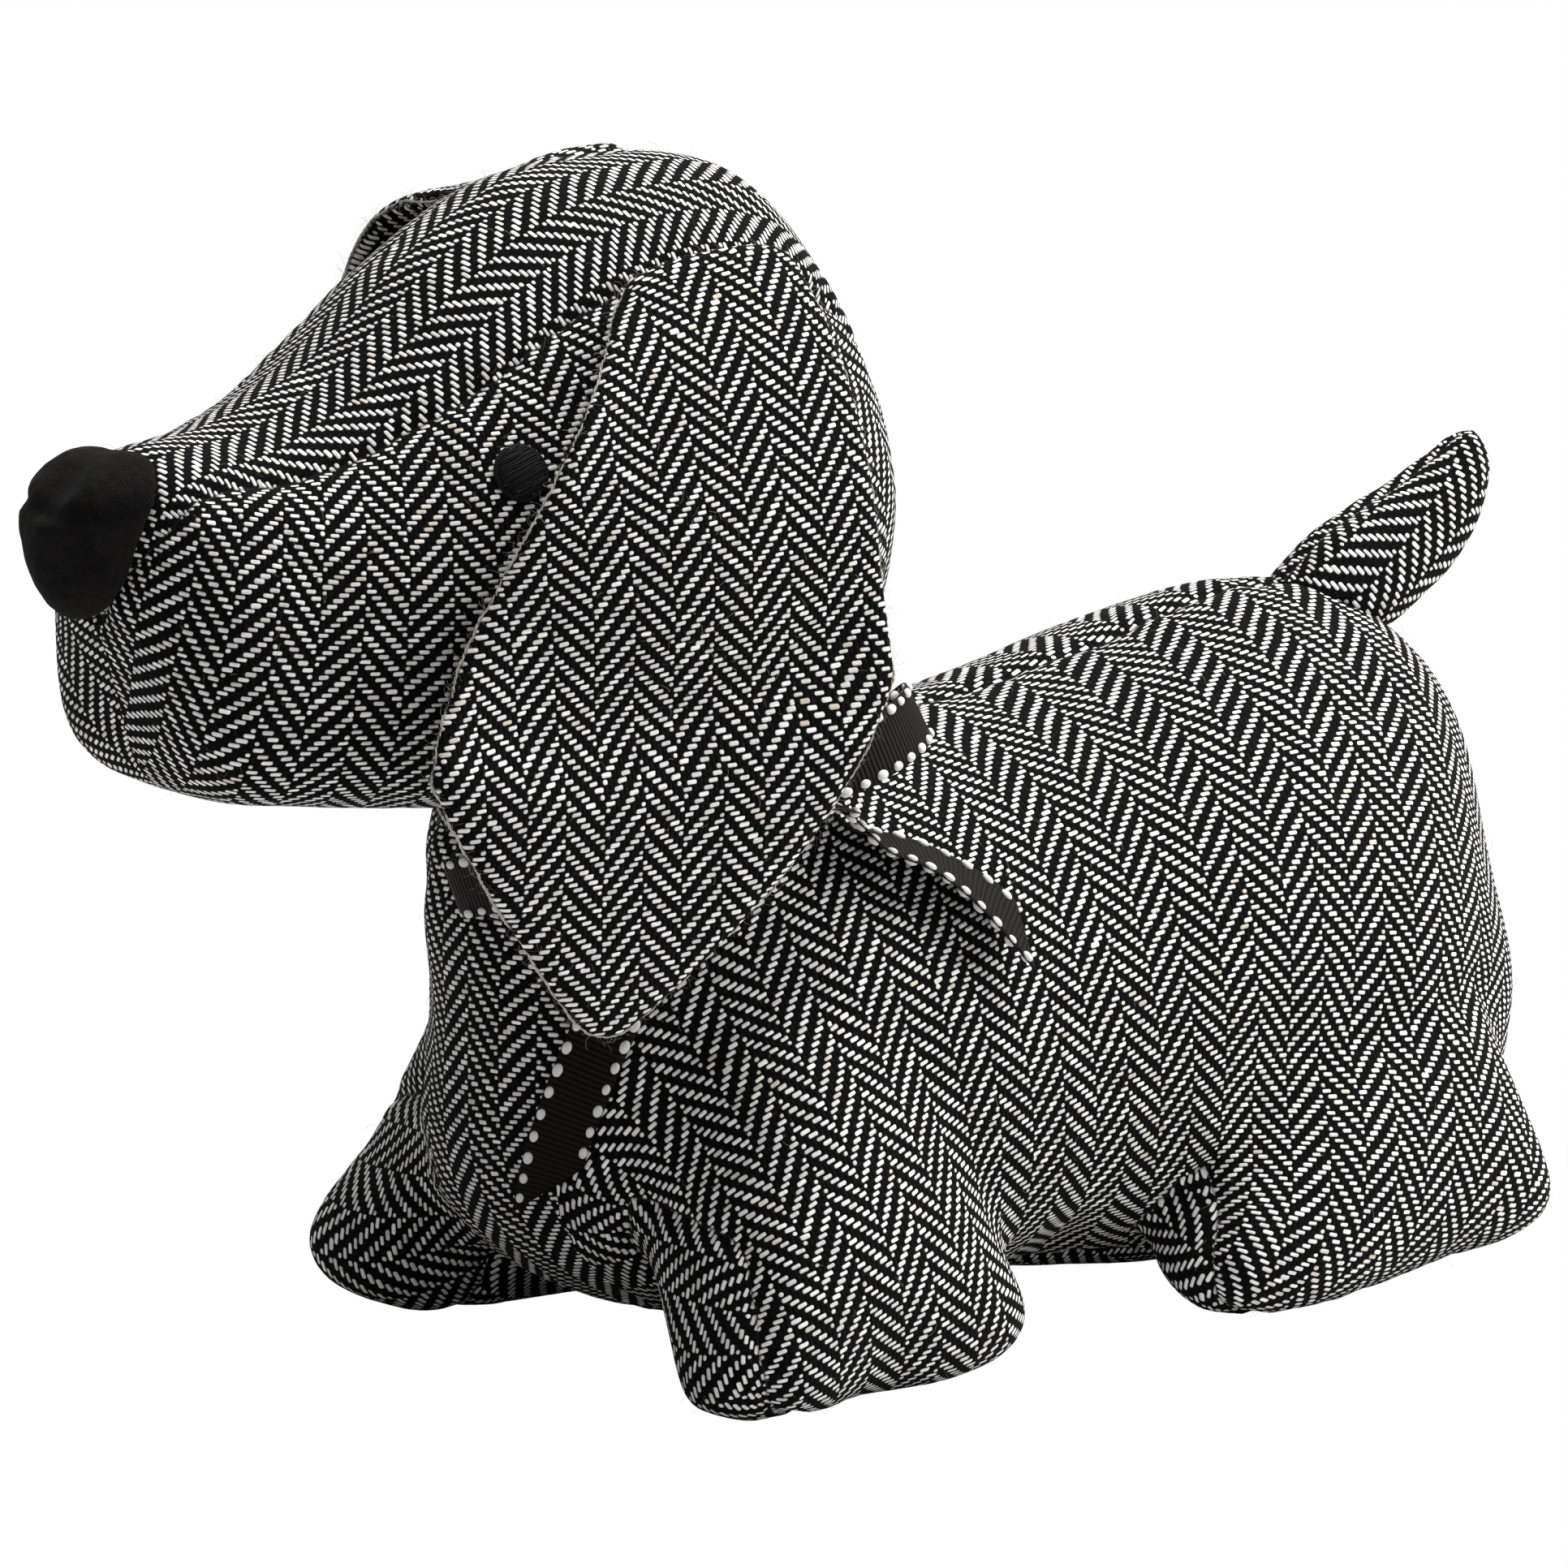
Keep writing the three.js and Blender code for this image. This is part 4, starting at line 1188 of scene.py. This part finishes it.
# Stitches: one oval of thread at each vertex of a mesh of places, turned by the way and up of that place.
def makeStitchTree(material):
    tree = bpy.data.node_groups.new("saddle stitches", "GeometryNodeTree")
    tree.interface.new_socket("Places", in_out="INPUT", socket_type="NodeSocketGeometry")
    for label, value in (("Length", 0.0024), ("Width", 0.0017), ("Height", 0.0012)):
        tree.interface.new_socket(label, in_out="INPUT", socket_type="NodeSocketFloat").default_value = value
    tree.interface.new_socket("Seed", in_out="INPUT", socket_type="NodeSocketInt").default_value = 4
    tree.interface.new_socket("Stitches", in_out="OUTPUT", socket_type="NodeSocketGeometry")
    given, result = tree.nodes.new("NodeGroupInput"), tree.nodes.new("NodeGroupOutput")
    oval = put(tree, "GeometryNodeMeshUVSphere", {"Segments": 16, "Rings": 10, "Radius": 0.5})
    size = put(tree, "ShaderNodeCombineXYZ", {
        "X": given.outputs["Length"], "Y": given.outputs["Width"], "Z": given.outputs["Height"]})
    shaped = put(tree, "GeometryNodeTransform", {"Geometry": oval.outputs[0], "Scale": size.outputs[0]})
    way = put(tree, "GeometryNodeInputNamedAttribute", {"Name": "way"}, data_type="FLOAT_VECTOR")
    up = put(tree, "GeometryNodeInputNamedAttribute", {"Name": "up"}, data_type="FLOAT_VECTOR")
    first = put(tree, "FunctionNodeAlignRotationToVector", {"Vector": way.outputs[0]}, axis="X")
    second = put(tree, "FunctionNodeAlignRotationToVector",
                 {"Rotation": first.outputs[0], "Vector": up.outputs[0]}, axis="Z", pivot_axis="X")
    vary = put(tree, "FunctionNodeRandomValue", {"Seed": given.outputs["Seed"]}, data_type="FLOAT")
    vary.inputs[2].default_value = 0.85  # the least and the most of its float kind
    vary.inputs[3].default_value = 1.12
    scatter = put(tree, "GeometryNodeInstanceOnPoints", {
        "Points": given.outputs["Places"], "Instance": shaped.outputs[0], "Rotation": second.outputs[0],
        "Scale": vary.outputs[1]})
    real = put(tree, "GeometryNodeRealizeInstances", {"Geometry": scatter.outputs[0]})
    finish = put(tree, "GeometryNodeSetMaterial", {"Geometry": real.outputs[0], "Material": material})
    tree.links.new(finish.outputs[0], result.inputs[0])
    return tree


# Runs a tree of nodes on a mesh of places that carry directions, and turns the result into a plain mesh.
def scattered(name, places, directions, tree, seed):
    mesh = bpy.data.meshes.new(f"{name}Places")
    mesh.from_pydata([tuple(p) for p in places], [], [])
    for label, values in directions.items():
        store = mesh.attributes.new(label, "FLOAT_VECTOR", "POINT")
        store.data.foreach_set("vector", np.array(values, np.float32).ravel())
    piece = linked(name, mesh)
    modifier = piece.modifiers.new("scatter", "NODES")
    modifier.node_group = tree
    modifier[tree.interface.items_tree["Seed"].identifier] = seed
    return applied(piece)


# The faces of a strip whose points start at first.
def stripFaces(part, first):
    total, count = len(part["rows"]), len(part["rows"][0])
    faces = []
    for r in range(total if part["closed"] else total - 1):
        here, ahead = first + r * count, first + ((r + 1) % total) * count
        for k in range(count):
            after = (k + 1) % count
            faces.append((here + k, here + after, ahead + after, ahead + k))
    if not part["closed"]:
        last = first + (total - 1) * count
        faces.append(tuple(first + k for k in range(count)))
        faces.append(tuple(last + k for k in range(count))[::-1])
    return faces


# The place, the way and the up of each stitch along both edges of a strip, on both its faces.
def stripStitches(part):
    form = ribbonForm
    pitch, raised = form["stitchPitch"] * 0.001, form["stitchRaise"] * 0.001
    inset = (form["width"] / 2 - form["stitchInset"]) * 0.001
    end = part["travelled"][-1]
    stitches = []
    for side in (-1, 1):
        ahead = part["slant"] * 0.001 * side
        for at in np.arange(0.4 * pitch, end + ahead - 0.001, pitch):
            near = min(at, end)
            spot = np.array([np.interp(near, part["travelled"], part["points"][:, k]) for k in range(3)])
            i = int(np.searchsorted(part["travelled"], near).clip(0, len(part["rows"]) - 1))
            spot += part["wide"][i] * side * inset + part["way"][i] * (at - near)
            for face in (-1, 1):
                up = part["out"][i] * face
                stitches.append((spot + up * raised, part["way"][i], up))
    return stitches


def makeRibbon(bodySurface):
    parts = [collarPart()] + [loopPart(loop) for loop in ribbonForm["loops"]]
    parts += [tailPart(tail, bodySurface) for tail in ribbonForm["tails"]]
    points, faces, flats, stitches = [], [], [], []
    for part in parts:
        faces += stripFaces(part, len(points))
        for ring, flat in zip(part["rows"], part["flats"]):
            points += [tuple(p) for p in ring]
            flats += flat
        stitches += stripStitches(part)
    mesh = bpy.data.meshes.new("ribbonBow")
    mesh.from_pydata(points, [], faces)
    setWeave(mesh, flats)
    ribbon = linked("ribbonBow", mesh)
    bm = bmesh.new()
    bm.from_mesh(mesh)
    knot = bmesh.ops.create_uvsphere(bm, u_segments=24, v_segments=16, radius=1)
    middle, half = Vector(inFrame(ribbonForm["knot"])), Vector(ribbonForm["knotHalf"]) * 0.001
    for vert in knot["verts"]:
        vert.co = middle + vert.co * half
    bm.to_mesh(mesh)
    bm.free()
    facesOutwards(mesh)
    clad(ribbon, makeGrosgrain(), "ribbon", "ribbon")
    return stitches


def makeStitches(stitches):
    places, ways, ups = zip(*stitches)
    white = makeThread("white thread", (0.95, 0.94, 0.93, 1), 0.1, 0.0)
    sewn = scattered("ribbonStitches", places, {"way": ways, "up": ups}, makeStitchTree(white), 4)
    shadeSmooth(sewn)
    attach(sewn, "root")


# A loose yarn of two plies that shows along the sewn edge of an ear.
edgeYarn = {"radius": 0.17, "plies": 0.16, "turn": 3, "wander": 0.7, "step": 0.5}


def makeEdgeYarn(name, rim, material):
    form = {key: value * 0.001 for key, value in edgeYarn.items()}
    _, length = smoothLine(rim, 10, True)
    count = int(length / form["step"])
    line, _ = smoothLine(rim, count, True)
    way = np.roll(line, -1, 0) - np.roll(line, 1, 0)
    way /= np.linalg.norm(way, axis=1, keepdims=True)
    side = np.cross(way, (0, 1, 0))
    side /= np.linalg.norm(side, axis=1, keepdims=True)
    up = np.cross(side, way)
    sway = np.stack([waves(line, 260, seed) for seed in (21, 22, 23)], 1) * form["wander"]
    turns = round(length / form["turn"])
    angle = np.linspace(0, 2 * math.pi * turns, count)[:, None]
    paths = []
    for ply in (0, math.pi):
        path = line + sway + (side * np.cos(angle + ply) + up * np.sin(angle + ply)) * form["plies"]
        paths.append(path[:count - 4])
    yarn = linked(name, threadMesh(name, paths, [form["radius"]] * 2, 5))
    yarn.data.materials.append(material)
    shadeSmooth(yarn)
    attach(yarn, "root")


# Loose fibres: one bent hair at each vertex of a mesh of places, standing along the up of that place.
def makeFibreTree(material):
    tree = bpy.data.node_groups.new("loose fibres", "GeometryNodeTree")
    tree.interface.new_socket("Places", in_out="INPUT", socket_type="NodeSocketGeometry")
    for label, value in (("Length", 0.002), ("Radius", 0.00002)):
        tree.interface.new_socket(label, in_out="INPUT", socket_type="NodeSocketFloat").default_value = value
    tree.interface.new_socket("Seed", in_out="INPUT", socket_type="NodeSocketInt").default_value = 6
    tree.interface.new_socket("Fibres", in_out="OUTPUT", socket_type="NodeSocketGeometry")
    given, result = tree.nodes.new("NodeGroupInput"), tree.nodes.new("NodeGroupOutput")
    bend = put(tree, "GeometryNodeCurveQuadraticBezier", {
        "Resolution": 7, "Start": (0, 0, -0.15), "Middle": (0.1, 0.15, 0.75), "End": (0.85, -0.1, 0.6)})
    sized = put(tree, "GeometryNodeTransform", {"Geometry": bend.outputs[0], "Scale": given.outputs["Length"]})
    ring = put(tree, "GeometryNodeCurvePrimitiveCircle", {"Resolution": 3, "Radius": given.outputs["Radius"]})
    hair = put(tree, "GeometryNodeCurveToMesh", {
        "Curve": sized.outputs[0], "Profile Curve": ring.outputs[0], "Fill Caps": True})
    up = put(tree, "GeometryNodeInputNamedAttribute", {"Name": "up"}, data_type="FLOAT_VECTOR")
    stand = put(tree, "FunctionNodeAlignRotationToVector", {"Vector": up.outputs[0]}, axis="Z")
    spin = put(tree, "FunctionNodeRandomValue", {"Seed": given.outputs["Seed"]}, data_type="FLOAT_VECTOR")
    spin.inputs[0].default_value = (-0.7, -0.7, -3.14)  # the least and the most of its vector kind
    spin.inputs[1].default_value = (0.7, 0.7, 3.14)
    turned = put(tree, "FunctionNodeRotateRotation",
                 {"Rotation": stand.outputs[0], "Rotate By": spin.outputs[0]}, rotation_space="LOCAL")
    vary = put(tree, "FunctionNodeRandomValue", {"Seed": given.outputs["Seed"]}, data_type="FLOAT_VECTOR")
    vary.inputs[0].default_value = (0.4, 0.4, 0.25)
    vary.inputs[1].default_value = (1.7, 1.3, 1.1)
    scatter = put(tree, "GeometryNodeInstanceOnPoints", {
        "Points": given.outputs["Places"], "Instance": hair.outputs[0], "Rotation": turned.outputs[0],
        "Scale": vary.outputs[0]})
    real = put(tree, "GeometryNodeRealizeInstances", {"Geometry": scatter.outputs[0]})
    finish = put(tree, "GeometryNodeSetMaterial", {"Geometry": real.outputs[0], "Material": material})
    tree.links.new(finish.outputs[0], result.inputs[0])
    return tree


fibreForm = {"alongEdge": 900, "astray": 0.35, "lean": 0.7,
             "body": 800, "head": 500, "earLeft": 400, "earRight": 200}


def makeFibres(name, places, ups, tree, seed):
    fibres = scattered(name, places, {"up": ups}, tree, seed)
    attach(fibres, "root")


def makeEdgeFibres(name, rim, tree, chance):
    count = fibreForm["alongEdge"]
    places, _ = smoothLine(rim, count, True)
    ups = places - places.mean(0)
    ups /= np.linalg.norm(ups, axis=1, keepdims=True)
    ups[:, 1] += chance.uniform(-fibreForm["lean"], fibreForm["lean"], count)
    makeFibres(name, places + chance.normal(0, fibreForm["astray"] * 0.001, (count, 3)), ups, tree, 3)


def makeClothFibres(pieces, tree, chance):
    places, ups = [], []
    for label, piece in pieces.items():
        picked = chance.integers(0, len(piece.data.vertices), fibreForm[label])
        places.append(toArray(piece)[picked])
        ups.append(normals(piece)[picked])
    makeFibres("clothFibres", np.concatenate(places), np.concatenate(ups), tree, 8)


say("ears")
headSurface = surfaceOf(head)
bodySurface = surfaceOf(body)
earLeft, rimLeft = makeEar("left", -1, headSurface)
earRight, rimRight = makeEar("right", 1, headSurface)
say("loose yarn and fibres")
lightWool = makeThread("light wool", (0.55, 0.52, 0.47, 1), 0.1, 0.0, 0.05)
makeEdgeYarn("edgeYarnLeft", rimLeft, lightWool)
makeEdgeYarn("edgeYarnRight", rimRight, lightWool)
fibreTree = makeFibreTree(lightWool)
chance = np.random.default_rng(12)
makeEdgeFibres("edgeFibresLeft", rimLeft, fibreTree, chance)
makeEdgeFibres("edgeFibresRight", rimRight, fibreTree, chance)
makeClothFibres({"body": body, "head": head, "earLeft": earLeft, "earRight": earRight}, fibreTree, chance)
say("tail, nose and eyes")
makeTail()
makeNose()
blackThread = makeThread("black thread", (0.0025, 0.0025, 0.003, 1), 0.0, 900.0, 0.1)
makeEye("left", -1, headSurface, blackThread)
makeEye("right", 1, headSurface, blackThread)
say("ribbon")
makeStitches(makeRibbon(bodySurface))

# Camera, light and backdrop, in metres. A lamp is [place, size, watts].
stageForm = {
    "look": (0.6232, 0.7426, -0.2453),
    "target": (0.00366, 0, 0.099),
    "away": 8.0,
    "lens": 1007,
    "ambient": 0.27,
    "lamps": {"key": ((1.9, -1.05, 1.2), 1.2, 50), "fill": ((-1.8, -0.8, 0.7), 1.2, 1),
              "top": ((0.7, 0, 1.9), 1.2, 58)},
}


def makeStage():
    look, target = Vector(stageForm["look"]).normalized(), Vector(stageForm["target"])
    camera = bpy.data.objects.new("camera", bpy.data.cameras.new("camera"))
    scene.collection.objects.link(camera)
    camera.data.sensor_width = 36
    camera.data.lens = stageForm["lens"]
    camera.data.clip_end = 40
    camera.location = target - look * stageForm["away"]
    camera.rotation_euler = look.to_track_quat("-Z", "Y").to_euler()
    scene.camera = camera
    scene.view_settings.view_transform = "Standard"

    floorMesh = bpy.data.meshes.new("floor")
    floorMesh.from_pydata([(-3, -3, 0), (3, -3, 0), (3, 3, 0), (-3, 3, 0)], [], [(0, 1, 2, 3)])
    floor = linked("floor", floorMesh)
    material, tree = newMaterial("pale floor")
    rays = put(tree, "ShaderNodeLightPath")
    matt = put(tree, "ShaderNodeBsdfDiffuse", {"Color": (0.68, 0.68, 0.68, 1)})
    white = put(tree, "ShaderNodeEmission", {"Color": (1, 1, 1, 1), "Strength": 1.0})
    pick = put(tree, "ShaderNodeMixShader", {
        0: rays.outputs["Is Camera Ray"], 1: matt.outputs[0], 2: white.outputs[0]})
    floorMesh.materials.append(surfaced(material, tree, pick))

    world = bpy.data.worlds.new("studio")
    scene.world = world
    world.use_nodes = True
    tree = world.node_tree
    tree.nodes.clear()
    rays = put(tree, "ShaderNodeLightPath")
    shown = calc(tree, "MAXIMUM", rays.outputs["Is Camera Ray"], rays.outputs["Is Glossy Ray"])
    ambient = stageForm["ambient"]
    strength = plus(tree, ambient, times(tree, shown, 1 - ambient))
    background = put(tree, "ShaderNodeBackground", {"Color": (1, 1, 1, 1), "Strength": strength})
    out = put(tree, "ShaderNodeOutputWorld")
    tree.links.new(background.outputs[0], out.inputs[0])

    for name, (place, size, watts) in stageForm["lamps"].items():
        lamp = bpy.data.objects.new(name, bpy.data.lights.new(name, "AREA"))
        scene.collection.objects.link(lamp)
        lamp.data.size = size
        lamp.data.energy = watts
        lamp.location = place
        lamp.rotation_euler = (Vector((0, 0, 0.1)) - Vector(place)).to_track_quat("-Z", "Y").to_euler()


say("stage")
makeStage()
